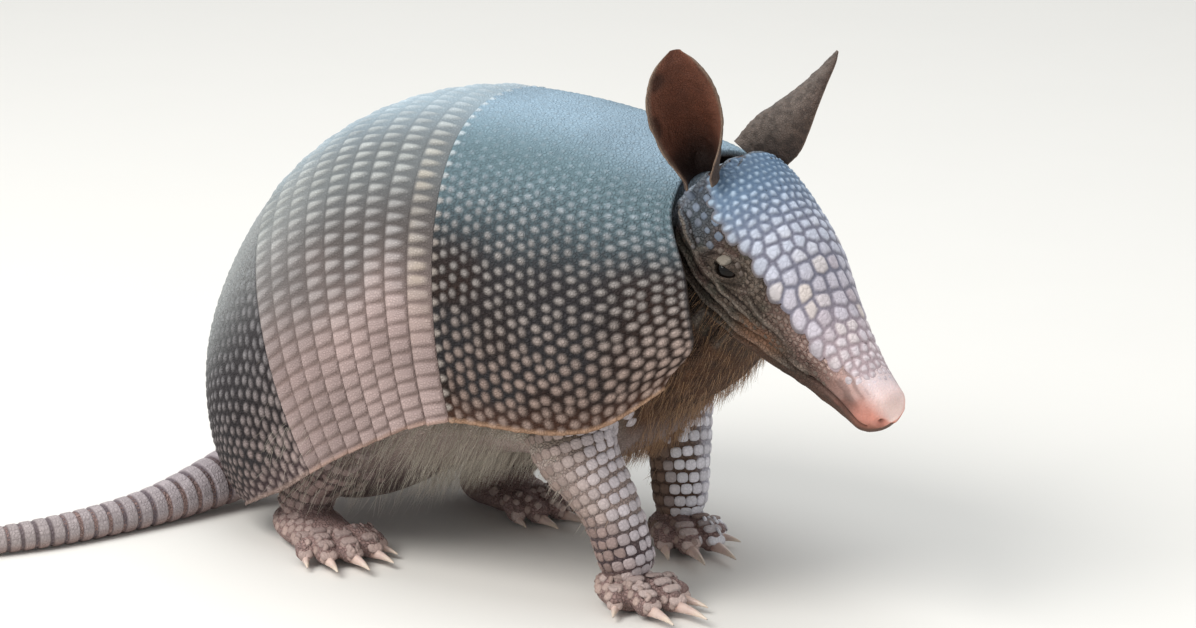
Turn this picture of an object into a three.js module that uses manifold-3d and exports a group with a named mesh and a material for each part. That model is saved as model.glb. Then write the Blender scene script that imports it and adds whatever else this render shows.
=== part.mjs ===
// A nine-banded armadillo at life size, in a slow walk with its head lowered.
// Millimetres and degrees. +X runs towards the snout, +Y to the animal's left, +Z up, soles at z = 0.

import * as THREE from "three";
import { mergeVertices } from "three/addons/utils/BufferGeometryUtils.js";
import Module from "manifold-3d";

const wasm = await Module();
wasm.setup();

// ---------------------------------------------------------------- driving dimensions

const GAP = 0.4; // clearance between neighbouring pieces

// The carapace follows a midline of two quarter ellipses, front and rear, that share their top.
// A place on it is an arc angle along that midline (0 at the top, + forward) and a share across
// from the right rim (-1) to the left rim (+1).
const MIDLINE = { x: -38, z: 61, rise: 122.5, front: 196, rear: 131 };
const RIM_TURN = 106; // how far round each cross-section goes before the rim
const BOXINESS = 0.9; // below 1 the cross-section is a little squarer than an ellipse
const SHELL = 3; // thickness of the two shields
const ARC = { front: 27, shoulder: -2, hip: -50.5, rear: -92 };
// arc, half width, depth down to the rim, backward lean, forward bow of the flank, belly depth
const CARAPACE = [
  [-92, 50, 57, 33.5, 0, 12],
  [-76, 64, 84.5, 31.5, 0, 26],
  [-59.5, 68, 106, 27, 1, 42],
  [-30, 74, 121, 17.5, 3, 50],
  [-2, 77, 115, 9, 4, 52],
  [15, 71.5, 107, 10.5, 7, 50],
  [27, 58, 74, 11, 8.5, 46],
];

const BANDS = { count: 9, thickness: 2.4, step: 0.7, joint: 0.25 };
const TRUNK = { front: 21, rear: -88, inset: SHELL + 1.8 };

// The head runs along its own X from the back of the skull to the snout.
const HEAD = { at: [55.5, -8, 159], pitch: 38, yaw: -13, length: 120 };
// share of the length, half width, height above the axis, depth below it
const HEAD_FORM = [
  [0, 22, 24, 26],
  [0.1, 27, 28, 30],
  [0.3, 28, 27, 31.5],
  [0.45, 25, 24, 29],
  [0.6, 20, 18, 23.5],
  [0.76, 15, 13.2, 18],
  [0.92, 12, 10.2, 12.8],
  [1, 11, 9.4, 11.5],
];
const HEAD_SHIELD = { from: 0.06, to: 0.86, thickness: 1.5 };
// share of the head, half angle round the axis that the shield covers
const SHIELD_SPREAD = [
  [0.06, 40],
  [0.2, 56],
  [0.35, 58],
  [0.6, 70],
  [0.86, 62],
];
const EYE = { along: 0.33, turn: 81, radius: 4.6, depth: 2.2 };
const NECK = {
  path: [
    [16, 0, 108],
    [44, -5, 118],
    [70, -14, 134],
  ],
  girth: [50, 42, 27],
};
const EAR = { length: 49, width: 18, thickness: 1.6, up: 18 };
// share of the ear, half width of the flattened sheet as a share of EAR.width
const EAR_OUTLINE = [
  [0, 0.74],
  [0.25, 0.98],
  [0.5, 1],
  [0.75, 0.8],
  [0.92, 0.46],
  [1, 0.12],
];
// share of the ear, half angle that the sheet is rolled through, depth against a round roll
const EAR_ROLL = [
  [0, 128, 1.9],
  [0.3, 88, 1.35],
  [0.6, 60, 1],
  [1, 46, 0.8],
];
// Where each ear stands, how far it leans out and ahead, and how far its opening turns outward.
const EAR_POSE = {
  right: { side: -1, along: 2.4, apart: 17.5, out: 14, ahead: -4, open: 56 },
  left: { side: 1, along: -2, apart: 13, out: 34, ahead: 27, open: 56 },
};

const TAIL = { lengths: 4, rings: 15, ringed: 0.82, step: 0.05, sides: 10 };
const TAIL_PATH = [
  [-143, -2, 32],
  [-157, -13, 17],
  [-165, -38, 11],
  [-174, -70, 7.5],
  [-194, -116, 6.2],
  [-230, -158, 4.9],
  [-280, -178, 3.4],
];
const TAIL_GIRTH = [
  [0, 15],
  [0.12, 12],
  [0.22, 9.8],
  [0.34, 7.6],
  [0.6, 5.6],
  [0.9, 3.6],
  [1, 2.4],
];

// Each leg: the run of its bones from inside the body to the foot, and its radius there.
const LEGS = {
  right_foreleg: {
    path: [
      [12, -40, 92],
      [20, -49, 62],
      [35, -48, 38],
      [45, -46, 9],
    ],
    girth: [25, 16.5, 11.8, 10.5],
  },
  left_foreleg: {
    path: [
      [8, 38, 92],
      [10, 39, 62],
      [17, 34, 38],
      [20, 30, 9],
    ],
    girth: [25, 18, 12.5, 10.5],
  },
  right_hind_leg: {
    path: [
      [-120, -34, 72],
      [-94, -43, 46],
      [-107, -44, 26],
      [-112, -44, 9],
    ],
    girth: [24, 18, 12.5, 10.5],
  },
  left_hind_leg: {
    path: [
      [-104, 34, 76],
      [-62, 38, 50],
      [-66, 38, 28],
      [-74, 38, 9],
    ],
    girth: [26, 24, 16, 12],
  },
};
// Toes of a foot, outermost first: sideways place, forward reach, splay, girth and claw length.
const FORE_TOES = [
  [10.5, 17, 16, 4.3, 12],
  [4, 25, 5, 5, 17],
  [-4, 24, -5, 4.9, 16],
  [-10, 10, -40, 4, 9],
];
const HIND_TOES = [
  [13, 37, 20, 3.8, 9],
  [7.5, 45, 10, 4.4, 12],
  [0.5, 48, 0, 4.6, 13],
  [-6.5, 45, -9, 4.4, 12],
  [-12, 36, -20, 3.8, 9],
];
const FORE_PALM = { back: -13, front: 16, half: 13, high: 17 };
const HIND_PALM = { back: -14, front: 36, half: 13.5, high: 17 };
const FEET = {
  right_forefoot: { at: [43, -46], heading: -24, side: -1, toes: FORE_TOES, palm: FORE_PALM },
  left_forefoot: { at: [20, 30], heading: -36, side: 1, toes: FORE_TOES, palm: FORE_PALM },
  right_hind_foot: { at: [-112, -44], heading: -30, side: -1, toes: HIND_TOES, palm: HIND_PALM },
  left_hind_foot: { at: [-76, 38], heading: -16, side: 1, toes: HIND_TOES, palm: HIND_PALM },
};
const CLAW = { rooted: 2, slim: 0.46, tip: 0.12, arch: 0.55, floor: 0.4 };

const FINISHES = {
  shell: { color: "#5c5450", roughness: 0.62, metalness: 0 },
  band: { color: "#8f7e76", roughness: 0.62, metalness: 0 },
  head_scales: { color: "#b9b0b8", roughness: 0.55, metalness: 0 },
  skin: { color: "#7a6862", roughness: 0.75, metalness: 0 },
  ear: { color: "#5a3c34", roughness: 0.7, metalness: 0 },
  tail: { color: "#b5a39c", roughness: 0.65, metalness: 0 },
  claw: { color: "#d8c9ae", roughness: 0.4, metalness: 0 },
  eye: { color: "#120d0b", roughness: 0.08, metalness: 0 },
};

// ---------------------------------------------------------------- helpers

const rad = THREE.MathUtils.degToRad;
const lerp = THREE.MathUtils.lerp;
const vector = (list) => new THREE.Vector3(...list);

// A smooth curve through rows of [place, value, ...]; each slope is the mean of its neighbours'.
function through(rows) {
  const last = rows.length - 1;
  const slope = (i, c) => (rows[i + 1][c] - rows[i][c]) / (rows[i + 1][0] - rows[i][0]);
  const tangent = (i, c) => (slope(Math.max(i - 1, 0), c) + slope(Math.min(i, last - 1), c)) / 2;
  return (place) => {
    const at = THREE.MathUtils.clamp(place, rows[0][0], rows[last][0]);
    const i = Math.min(Math.max(rows.findIndex((row) => row[0] > at) - 1, 0), last - 1);
    const k = rows[last][0] <= at ? last - 1 : i;
    const span = rows[k + 1][0] - rows[k][0];
    const p = (at - rows[k][0]) / span;
    return rows[k].slice(1).map((from, n) => {
      const c = n + 1;
      const to = rows[k + 1][c];
      const start = tangent(k, c) * span;
      const end = tangent(k + 1, c) * span;
      return (
        from * (1 + 2 * p) * (1 - p) ** 2 +
        start * p * (1 - p) ** 2 +
        to * p * p * (3 - 2 * p) -
        end * p * p * (1 - p)
      );
    });
  };
}

// Moves every vertex of a closed geometry through `place`, and keeps its faces outward.
function shaped(geometry, place) {
  const bare = geometry.clone();
  bare.deleteAttribute("normal");
  bare.deleteAttribute("uv");
  const points = bare.attributes.position;
  const moved = new THREE.Vector3();
  for (let i = 0; i < points.count; i++) {
    place(moved.fromBufferAttribute(points, i));
    points.setXYZ(i, moved.x, moved.y, moved.z);
  }
  return outward(mergeVertices(bare, 1e-3));
}

function outward(geometry) {
  const { array } = geometry.attributes.position;
  const index = geometry.index.array;
  const corner = (i) => new THREE.Vector3().fromArray(array, 3 * index[i]);
  let volume = 0;
  for (let i = 0; i < index.length; i += 3) {
    volume += corner(i).dot(corner(i + 1).cross(corner(i + 2)));
  }
  if (volume < 0) {
    for (let i = 0; i < index.length; i += 3) {
      [index[i + 1], index[i + 2]] = [index[i + 2], index[i + 1]];
    }
  }
  return geometry;
}

// The same closed form with every face moved out by `by`, sharp edges too.
function grown(geometry, by = GAP) {
  const bigger = geometry.clone();
  const { array } = bigger.attributes.position;
  const index = bigger.index.array;
  const corner = (i) => new THREE.Vector3().fromArray(array, 3 * index[i]);
  const facing = Array.from({ length: array.length / 3 }, () => []);
  for (let i = 0; i < index.length; i += 3) {
    const from = corner(i);
    const normal = corner(i + 1).sub(from).cross(corner(i + 2).sub(from)).normalize();
    for (const vertex of index.slice(i, i + 3)) {
      if (facing[vertex].every((other) => other.dot(normal) < 0.9)) facing[vertex].push(normal);
    }
  }
  facing.forEach((normals, vertex) => {
    const way = normals.reduce((sum, normal) => sum.add(normal), new THREE.Vector3()).normalize();
    const least = Math.min(...normals.map((normal) => normal.dot(way)));
    const reach = by / Math.max(least, 0.4);
    [way.x, way.y, way.z].forEach((part, axis) => (array[3 * vertex + axis] += part * reach));
  });
  return bigger;
}

function solidOf(geometry) {
  const mesh = new wasm.Mesh({
    numProp: 3,
    vertProperties: geometry.attributes.position.array,
    triVerts: new Uint32Array(geometry.index.array),
  });
  return new wasm.Manifold(mesh);
}

function geometryOf(solid) {
  const mesh = solid.getMesh();
  const geometry = new THREE.BufferGeometry();
  geometry.setAttribute("position", new THREE.BufferAttribute(mesh.vertProperties, 3));
  geometry.setIndex(new THREE.BufferAttribute(mesh.triVerts, 1));
  return geometry;
}

const joined = (forms) => geometryOf(forms.map(solidOf).reduce((whole, form) => whole.add(form)));

// `form` without the room that its neighbours take; only its main piece is kept.
function parted(form, neighbours) {
  const taken = neighbours.map((other) => solidOf(grown(other)));
  const left = taken.reduce((rest, other) => rest.subtract(other), solidOf(form));
  const pieces = left.decompose().sort((a, b) => b.volume() - a.volume());
  return geometryOf(pieces[0]);
}

// A block under the floor, which gives the soles and the tail their small flats.
const FLOOR = { side: 900, deep: 40 };
const floor = shaped(new THREE.BoxGeometry(FLOOR.side, FLOOR.side, FLOOR.deep), (p) => {
  p.z -= FLOOR.deep / 2;
});
const onFloor = (form) => geometryOf(solidOf(form).subtract(solidOf(floor)));

// A closed round form: `section(share, turn)` gives its skin, `share` 0 to 1 from end to end and
// `turn` once round from the top. Over the share `cap` it rounds off on to `heart(share)`, its axis.
const EVEN = 0.6; // 0 spaces the rings evenly by angle, 1 evenly by length
function round(sides, rings, section, heart, cap) {
  return shaped(new THREE.SphereGeometry(1, sides, rings), (p) => {
    const share = lerp(Math.acos(THREE.MathUtils.clamp(p.y, -1, 1)) / Math.PI, (1 - p.y) / 2, EVEN);
    const turn = Math.atan2(p.x, p.z);
    const end = Math.max(1 - Math.min(share, 1 - share) / cap, 0);
    const fill = Math.abs(p.y) < 1 ? Math.sqrt(1 - end * end) : 0;
    p.copy(heart(share)).lerp(section(share, turn), fill);
  });
}

// A limb, toe or claw: a round form of the given radii along a smooth path.
function limb(path, girth, sides, rings, cap) {
  const curve = new THREE.CatmullRomCurve3(path.map(vector), false, "centripetal");
  const radius = through(girth.map((value, i) => [i / (girth.length - 1), value]));
  const frame = (share) => {
    const along = curve.getTangent(share);
    const aside = new THREE.Vector3(-along.y, along.x, 0);
    if (aside.lengthSq() < 1e-4) aside.set(0, 1, 0);
    aside.normalize();
    return { aside, up: new THREE.Vector3().crossVectors(along, aside) };
  };
  const heart = (share) => curve.getPoint(share);
  const section = (share, turn) => {
    const { aside, up } = frame(share);
    const [r] = radius(share);
    return heart(share)
      .addScaledVector(up, r * Math.cos(turn))
      .addScaledVector(aside, r * Math.sin(turn));
  };
  return round(sides, rings, section, heart, cap);
}

// ---------------------------------------------------------------- carapace

const carapaceAt = through(CARAPACE);
const rimShare = 1 - Math.cos(rad(RIM_TURN));

function carapacePoint(arc, across) {
  const [width, depth, lean, bow] = carapaceAt(arc);
  const turn = rad(across * RIM_TURN);
  const down = (depth * (1 - Math.cos(turn))) / rimShare;
  const reach = arc < 0 ? MIDLINE.rear : MIDLINE.front;
  return new THREE.Vector3(
    MIDLINE.x + reach * Math.sin(rad(arc)) + down * Math.sin(rad(lean)) + bow * Math.sin(turn) ** 2,
    Math.sign(across) * width * Math.abs(Math.sin(turn)) ** BOXINESS,
    MIDLINE.z + MIDLINE.rise * Math.cos(rad(arc)) - down * Math.cos(rad(lean)),
  );
}

function carapaceNormal(arc, across) {
  const small = 0.01;
  const along = carapacePoint(arc + small, across).sub(carapacePoint(arc - small, across));
  const round = carapacePoint(arc, across + small).sub(carapacePoint(arc, across - small));
  return along.cross(round).normalize();
}

// A curved plate of the carapace between two arc angles; its rear edge may stand proud.
function plate(rear, front, { thickness, step = 0, along = 1, around = 20 }) {
  return shaped(new THREE.BoxGeometry(2, 1, 1, around, along, 1), (p) => {
    const arc = lerp(rear, front, p.y + 0.5);
    const lift = (p.z - 0.5) * thickness - 2 * step * p.y;
    const across = p.x;
    p.copy(carapacePoint(arc, across)).addScaledVector(carapaceNormal(arc, across), lift);
  });
}

const shoulderShield = plate(ARC.shoulder + BANDS.joint, ARC.front, { thickness: SHELL, along: 5 });
const pelvicShield = plate(ARC.rear, ARC.hip - BANDS.joint, { thickness: SHELL, along: 5 });
const bands = Array.from({ length: BANDS.count }, (_, i) => {
  const pitch = (ARC.shoulder - ARC.hip) / BANDS.count;
  const front = ARC.shoulder - i * pitch;
  return plate(front - pitch + BANDS.joint, front - BANDS.joint, BANDS);
});
const shell = [shoulderShield, ...bands, pelvicShield];

// ---------------------------------------------------------------- trunk

function trunkForm() {
  const arcAt = (share) => lerp(TRUNK.front, TRUNK.rear, share);
  const place = (arc, aside, down) => {
    const [, , lean] = carapaceAt(arc);
    const top = carapacePoint(arc, 0);
    return new THREE.Vector3(
      top.x + down * Math.sin(rad(lean)),
      aside,
      top.z - down * Math.cos(rad(lean)),
    );
  };
  const section = (share, turn) => {
    const arc = arcAt(share);
    const [width, depth, , bow, belly] = carapaceAt(arc);
    const high = depth / rimShare;
    const aside = Math.sign(turn) * (width - TRUNK.inset) * Math.abs(Math.sin(turn)) ** BOXINESS;
    const rise = Math.cos(turn) > 0 ? high - TRUNK.inset : belly;
    const point = place(arc, aside, high - rise * Math.cos(turn));
    point.x += bow * Math.sin(turn) ** 2;
    return point;
  };
  const heart = (share) => {
    const [, depth] = carapaceAt(arcAt(share));
    return place(arcAt(share), 0, depth / rimShare);
  };
  return round(20, 14, section, heart, 0.14);
}

const trunk = trunkForm();

// ---------------------------------------------------------------- head, neck, ears and eyes

const headFrame = new THREE.Object3D();
headFrame.position.set(...HEAD.at);
headFrame.rotation.set(0, rad(HEAD.pitch), rad(HEAD.yaw), "ZYX");
headFrame.updateMatrixWorld();
const headForm = through(HEAD_FORM);

// A place on the head by its share of the length and the turn from the top, `lift` above the skin.
function headPoint(share, turn, lift = 0) {
  const [half, above, below] = headForm(share);
  const high = Math.cos(turn) > 0 ? above : below;
  return new THREE.Vector3(
    share * HEAD.length,
    (half + lift) * Math.sin(turn),
    (high + lift) * Math.cos(turn),
  ).applyMatrix4(headFrame.matrixWorld);
}
function headHeart(share) {
  return new THREE.Vector3(share * HEAD.length, 0, 0).applyMatrix4(headFrame.matrixWorld);
}
const headWhole = round(16, 11, (share, turn) => headPoint(share, turn), headHeart, 0.07);

const shieldSpread = through(SHIELD_SPREAD);
const headShield = shaped(new THREE.BoxGeometry(2, 1, 1, 8, 9, 1), (p) => {
  const share = lerp(HEAD_SHIELD.from, HEAD_SHIELD.to, p.y + 0.5);
  const turn = p.x * rad(shieldSpread(share)[0]);
  const lift = (p.z - 0.25) * HEAD_SHIELD.thickness;
  p.copy(headPoint(share, turn, lift));
});

function eyeForm(side) {
  const middle = headPoint(EYE.along, side * rad(EYE.turn), -EYE.depth);
  return shaped(new THREE.SphereGeometry(EYE.radius, 10, 6), (p) => p.add(middle));
}

// An ear is a scoop, rolled almost shut at its base, that opens and comes to a point.
function earForm({ side, along, apart, out, ahead, open }) {
  const frame = new THREE.Object3D();
  frame.position.set(along, side * apart, EAR.up);
  frame.rotation.set(rad(-side * out), rad(ahead - HEAD.pitch), rad(side * open), "YXZ");
  headFrame.add(frame);
  frame.updateMatrixWorld();
  const outline = through(EAR_OUTLINE);
  const roll = through(EAR_ROLL);
  return shaped(new THREE.BoxGeometry(2, 1, 1, 8, 7, 1), (p) => {
    const share = p.y + 0.5;
    const half = EAR.width * outline(share)[0];
    const [turned, deep] = roll(share);
    const bend = rad(turned);
    const radius = half / bend;
    const turn = p.x * bend;
    const shell = radius - p.z * EAR.thickness;
    p.set(radius - shell * Math.cos(turn) * deep, shell * Math.sin(turn), share * EAR.length);
    p.applyMatrix4(frame.matrixWorld);
  });
}

const eyes = { right: eyeForm(-1), left: eyeForm(1) };
const head = parted(headWhole, [headShield, eyes.right, eyes.left, shoulderShield]);
const earIn = (pose) => parted(earForm(pose), [headWhole, headShield]);
const ears = { right: earIn(EAR_POSE.right), left: earIn(EAR_POSE.left) };
const neckWhole = limb(NECK.path, NECK.girth, 14, 6, 0.15);
const neck = parted(neckWhole, [headWhole, headShield, ears.right, ears.left, trunk, ...shell]);

// ---------------------------------------------------------------- tail

const tailCurve = new THREE.CatmullRomCurve3(TAIL_PATH.map(vector), false, "centripetal");
const tailGirth = through(TAIL_GIRTH);

function tailLength(number) {
  const from = number / TAIL.lengths;
  const to = (number + 1) / TAIL.lengths - GAP / tailCurve.getLength();
  const rings = Math.round((TAIL.rings * 2) / TAIL.lengths);
  const form = shaped(new THREE.CylinderGeometry(1, 1, 1, TAIL.sides, rings), (p) => {
    const share = lerp(from, to, p.y + 0.5);
    const ring = Math.round((p.y + 0.5) * rings);
    const proud = share < TAIL.ringed ? 1 + TAIL.step * (ring % 2 === 0 ? -1 : 1) : 1;
    const reach = Math.hypot(p.x, p.z) * tailGirth(share)[0] * proud;
    const turn = Math.atan2(p.x, p.z);
    const along = tailCurve.getTangentAt(share);
    const aside = new THREE.Vector3(-along.y, along.x, 0).normalize();
    const up = new THREE.Vector3().crossVectors(along, aside);
    p.copy(tailCurve.getPointAt(share))
      .addScaledVector(up, reach * Math.cos(turn))
      .addScaledVector(aside, reach * Math.sin(turn));
  });
  return onFloor(parted(form, [trunk, pelvicShield]));
}
const tail = Array.from({ length: TAIL.lengths }, (_, i) => tailLength(i));

// ---------------------------------------------------------------- legs, feet and claws

function footFrame({ at, heading }) {
  const frame = new THREE.Object3D();
  frame.position.set(at[0], at[1], 0);
  frame.rotation.z = rad(heading);
  frame.updateMatrixWorld();
  return frame.matrixWorld;
}

// A toe runs from well inside the palm, over a low knuckle, down to the floor.
function toePath({ side, palm }, [aside, reach, splay, girth]) {
  const root = palm.front - 10;
  const spread = Math.tan(rad(splay)) * (reach - root);
  return [
    [root, -side * aside, girth + 4],
    [lerp(root, reach, 0.5), -side * (aside + spread / 2), girth + 3],
    [reach, -side * (aside + spread), girth - 0.4],
  ];
}

function footForm(foot) {
  const { palm, toes } = foot;
  const level = 0.42 * palm.high;
  const ahead = (share) => lerp(palm.back, palm.front, share);
  const heart = (share) => new THREE.Vector3(ahead(share), 0, level);
  const section = (share, turn) => {
    const high = (level + 0.5 * palm.high * Math.cos(turn)) * lerp(1, 0.72, share);
    return new THREE.Vector3(ahead(share), palm.half * Math.sin(turn), high);
  };
  const sole = round(9, 6, section, heart, 0.4);
  const digits = toes.map((toe) => {
    const girth = [1, 1.08, 0.9].map((share) => share * toe[3]);
    return limb(toePath(foot, toe), girth, 6, 4, 0.2);
  });
  return onFloor(joined([sole, ...digits]).applyMatrix4(footFrame(foot)));
}

// A claw leaves the end of its toe, arches a little and comes to a point just above the floor.
function clawForm(foot, toe) {
  const [, , splay, girth, length] = toe;
  const tip = vector(toePath(foot, toe)[2]);
  const heading = rad(-foot.side * splay);
  const form = shaped(new THREE.CylinderGeometry(1, 1, 1, 5, 2), (p) => {
    const share = p.y + 0.5;
    const half = girth * CLAW.slim * lerp(1, CLAW.tip, share ** 1.3);
    const ahead = lerp(-CLAW.rooted, length, share);
    const arch = (girth * CLAW.arch * Math.sin(share * Math.PI * CLAW.arch)) / 2;
    const high = tip.z + arch - lerp(0.6, 1.7, share) + p.z * half;
    p.set(
      tip.x + ahead * Math.cos(heading) - p.x * half * Math.sin(heading),
      tip.y + ahead * Math.sin(heading) + p.x * half * Math.cos(heading),
      Math.max(high, CLAW.floor),
    );
  });
  return form.applyMatrix4(footFrame(foot));
}

const feet = Object.values(FEET).map(footForm);
const legs = Object.values(LEGS).map(({ path, girth }, i) =>
  parted(limb(path, girth, 10, 8, 0.12), [feet[i], trunk, ...shell]),
);

// ---------------------------------------------------------------- the animal

const armadillo = new THREE.Group();
armadillo.name = "nine_banded_armadillo";

function add(name, geometry, finish) {
  const mesh = new THREE.Mesh(geometry, new THREE.MeshStandardMaterial(FINISHES[finish]));
  mesh.name = name;
  armadillo.add(mesh);
}

add("shoulder_shield", shoulderShield, "shell");
bands.forEach((band, i) => add(`band_${i + 1}`, band, "band"));
add("pelvic_shield", pelvicShield, "shell");
add("trunk", trunk, "skin");
add("neck", neck, "skin");
add("head", head, "skin");
add("head_shield", headShield, "head_scales");
for (const side of ["right", "left"]) {
  add(`${side}_ear`, ears[side], "ear");
  add(`${side}_eye`, eyes[side], "eye");
}
tail.forEach((length, i) => add(`tail_${i + 1}`, length, "tail"));
Object.keys(LEGS).forEach((name, i) => add(name, legs[i], "skin"));
Object.entries(FEET).forEach(([name, foot], i) => {
  add(name, feet[i], "skin");
  foot.toes.forEach((toe, n) => {
    add(`${name}_claw_${n + 1}`, parted(clawForm(foot, toe), [feet[i]]), "claw");
  });
});

// The origin is on the floor, under the middle of the whole animal.
const middle = new THREE.Box3().setFromObject(armadillo).getCenter(new THREE.Vector3());
armadillo.position.set(-middle.x, -middle.y, 0);

export default armadillo;
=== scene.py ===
"""A nine-banded armadillo at life size, in a slow walk with its head lowered.

The shapes repeat the solids' driving sizes in millimetres, in the animal's own axes: +X to the
snout, +Y to its left, +Z up. `placed` carries them into the frame, in metres.
"""
import math

import bmesh
import bpy
import numpy as np
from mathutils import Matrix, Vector
from mathutils.bvhtree import BVHTree
from mathutils.kdtree import KDTree


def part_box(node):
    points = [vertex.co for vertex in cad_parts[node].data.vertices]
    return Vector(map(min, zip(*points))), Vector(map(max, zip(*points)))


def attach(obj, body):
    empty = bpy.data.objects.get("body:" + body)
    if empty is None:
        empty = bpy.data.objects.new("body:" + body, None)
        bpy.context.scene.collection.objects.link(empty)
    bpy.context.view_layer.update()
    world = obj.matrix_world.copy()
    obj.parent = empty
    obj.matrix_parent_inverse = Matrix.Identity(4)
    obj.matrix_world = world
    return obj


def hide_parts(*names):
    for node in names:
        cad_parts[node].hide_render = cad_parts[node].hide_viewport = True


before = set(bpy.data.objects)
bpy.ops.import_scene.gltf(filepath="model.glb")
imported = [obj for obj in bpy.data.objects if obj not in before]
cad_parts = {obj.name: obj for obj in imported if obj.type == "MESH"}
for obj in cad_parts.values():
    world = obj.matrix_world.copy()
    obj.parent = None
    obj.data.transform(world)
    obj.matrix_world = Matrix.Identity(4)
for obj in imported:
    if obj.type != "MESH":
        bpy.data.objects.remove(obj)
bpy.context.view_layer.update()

chooser = np.random.default_rng(9)

# ---------------------------------------------------------------- the solids' driving sizes

MIDLINE = {"x": -38, "z": 61, "rise": 122.5, "front": 196, "rear": 131}
RIM_TURN = 106
BOXINESS = 0.9
SHELL = 3
ARC = {"front": 27, "shoulder": -2, "hip": -50.5, "rear": -92}
CARAPACE = [
    [-92, 50, 57, 33.5, 0, 12],
    [-76, 64, 84.5, 31.5, 0, 26],
    [-59.5, 68, 106, 27, 1, 42],
    [-30, 74, 121, 17.5, 3, 50],
    [-2, 77, 115, 9, 4, 52],
    [15, 71.5, 107, 10.5, 7, 50],
    [27, 58, 74, 11, 8.5, 46],
]
BANDS = {"count": 9, "thickness": 2.4, "step": 0.7, "joint": 0.25}
WEDGE = {"spacing": 5.4, "long": 3.4}
HINGE = 0.08
TRUNK = {"front": 21, "rear": -88, "inset": SHELL + 1.8}
HEAD = {"at": [55.5, -8, 159], "pitch": 38, "yaw": -13, "length": 120}
# The muzzle lies up to a millimetre inside its solid.
HEAD_FORM = [
    [0, 22, 24, 26],
    [0.1, 27, 28, 30],
    [0.3, 28, 27, 31.5],
    [0.45, 25, 24, 29],
    [0.6, 19.4, 17.4, 23.5],
    [0.76, 13.9, 12.3, 17.4],
    [0.92, 11.3, 9.8, 12.5],
    [1, 11, 9.4, 11.5],
]
EYE = {"along": 0.33, "turn": 81, "radius": 4.6, "depth": 2.2}
NECK = {"path": [[16, 0, 108], [44, -5, 118], [70, -14, 134]], "girth": [50, 42, 27]}
EAR = {"length": 49, "width": 18, "thickness": 1.6, "up": 18}
EAR_OUTLINE = [[0, 0.74], [0.25, 0.98], [0.5, 1], [0.75, 0.8], [0.92, 0.46], [1, 0.12]]
EAR_ROLL = [[0, 128, 1.9], [0.3, 88, 1.35], [0.6, 60, 1], [1, 46, 0.8]]
EAR_POSE = {
    "right": {"side": -1, "along": 2.4, "apart": 17.5, "out": 14, "ahead": -4, "open": 56},
    "left": {"side": 1, "along": -2, "apart": 13, "out": 34, "ahead": 27, "open": 56, "point": 0.6},
}
TAIL_PATH = [
    [-143, -2, 32],
    [-157, -13, 17],
    [-165, -38, 11],
    [-174, -70, 7.5],
    [-194, -116, 6.2],
    [-230, -158, 4.9],
    [-280, -178, 3.4],
]
TAIL_GIRTH = [[0, 15], [0.12, 12], [0.22, 9.8], [0.34, 7.6], [0.6, 5.6], [0.9, 3.6], [1, 2.4]]
TAIL_INSET = 0.5
LEG_PATHS = {
    "right_foreleg": [[12, -40, 92], [20, -49, 62], [35, -48, 38], [45, -46, 9]],
    "left_foreleg": [[8, 38, 92], [10, 39, 62], [17, 34, 38], [20, 30, 9]],
    "right_hind_leg": [[-120, -34, 72], [-94, -43, 46], [-107, -44, 26], [-112, -44, 9]],
    "left_hind_leg": [[-104, 34, 76], [-62, 38, 50], [-66, 38, 28], [-74, 38, 9]],
}
LEG_GIRTHS = {
    "right_foreleg": [25, 16.5, 11.8, 10.5],
    "left_foreleg": [25, 18, 12.5, 10.5],
    "right_hind_leg": [24, 18, 12.5, 10.5],
    "left_hind_leg": [26, 24, 16, 12],
}
# A toe is [aside, reach, splay in degrees, girth, length of its claw].
FORE = {
    "toes": [[10.5, 17, 16, 4.3, 12], [4, 25, 5, 5, 17], [-4, 24, -5, 4.9, 16], [-10, 10, -40, 4, 9]],
    "palm": {"back": -13, "front": 16, "half": 13, "high": 17},
}
HIND = {
    "toes": [
        [13, 37, 20, 3.8, 9], [7.5, 45, 10, 4.4, 12], [0.5, 48, 0, 4.6, 13],
        [-6.5, 45, -9, 4.4, 12], [-12, 36, -20, 3.8, 9],
    ],
    "palm": {"back": -14, "front": 36, "half": 13.5, "high": 17},
}
FEET = {
    "right_forefoot": {"at": [43, -46], "heading": -24, "side": -1, **FORE},
    "left_forefoot": {"at": [20, 30], "heading": -36, "side": 1, **FORE},
    "right_hind_foot": {"at": [-112, -44], "heading": -30, "side": -1, **HIND},
    "left_hind_foot": {"at": [-76, 38], "heading": -16, "side": 1, **HIND},
}
FLESH = ["trunk", "neck", "head", "right_ear", "left_ear", *LEG_PATHS, *FEET]
MM_IN_METRE = 1000

# ---------------------------------------------------------------- small tools


def unit(vectors):
    return vectors / np.maximum(np.linalg.norm(vectors, axis=-1, keepdims=True), 1e-9)


def columns(*parts):
    """Arrays side by side as the last axis of one, each spread to the same shape."""
    return np.stack(np.broadcast_arrays(*parts), -1)


def grid_of(*axes):
    """Each axis's values at every place of the grid they span."""
    return np.meshgrid(*axes, indexing="ij")


def full_circle(count):
    return np.linspace(0, math.tau, count, endpoint=False)


def about(turn, first, second):
    """The way at each turn from `first` towards `second`."""
    return np.cos(turn)[..., None] * first + np.sin(turn)[..., None] * second


def bell(value):
    return np.exp(-(value**2))


def ease(low, high, value):
    """0 below `low`, 1 above `high`, and a smooth rise between; `low` may be the larger."""
    t = np.clip((np.asarray(value, float) - low) / (high - low), 0, 1)
    return t * t * (3 - 2 * t)


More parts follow.
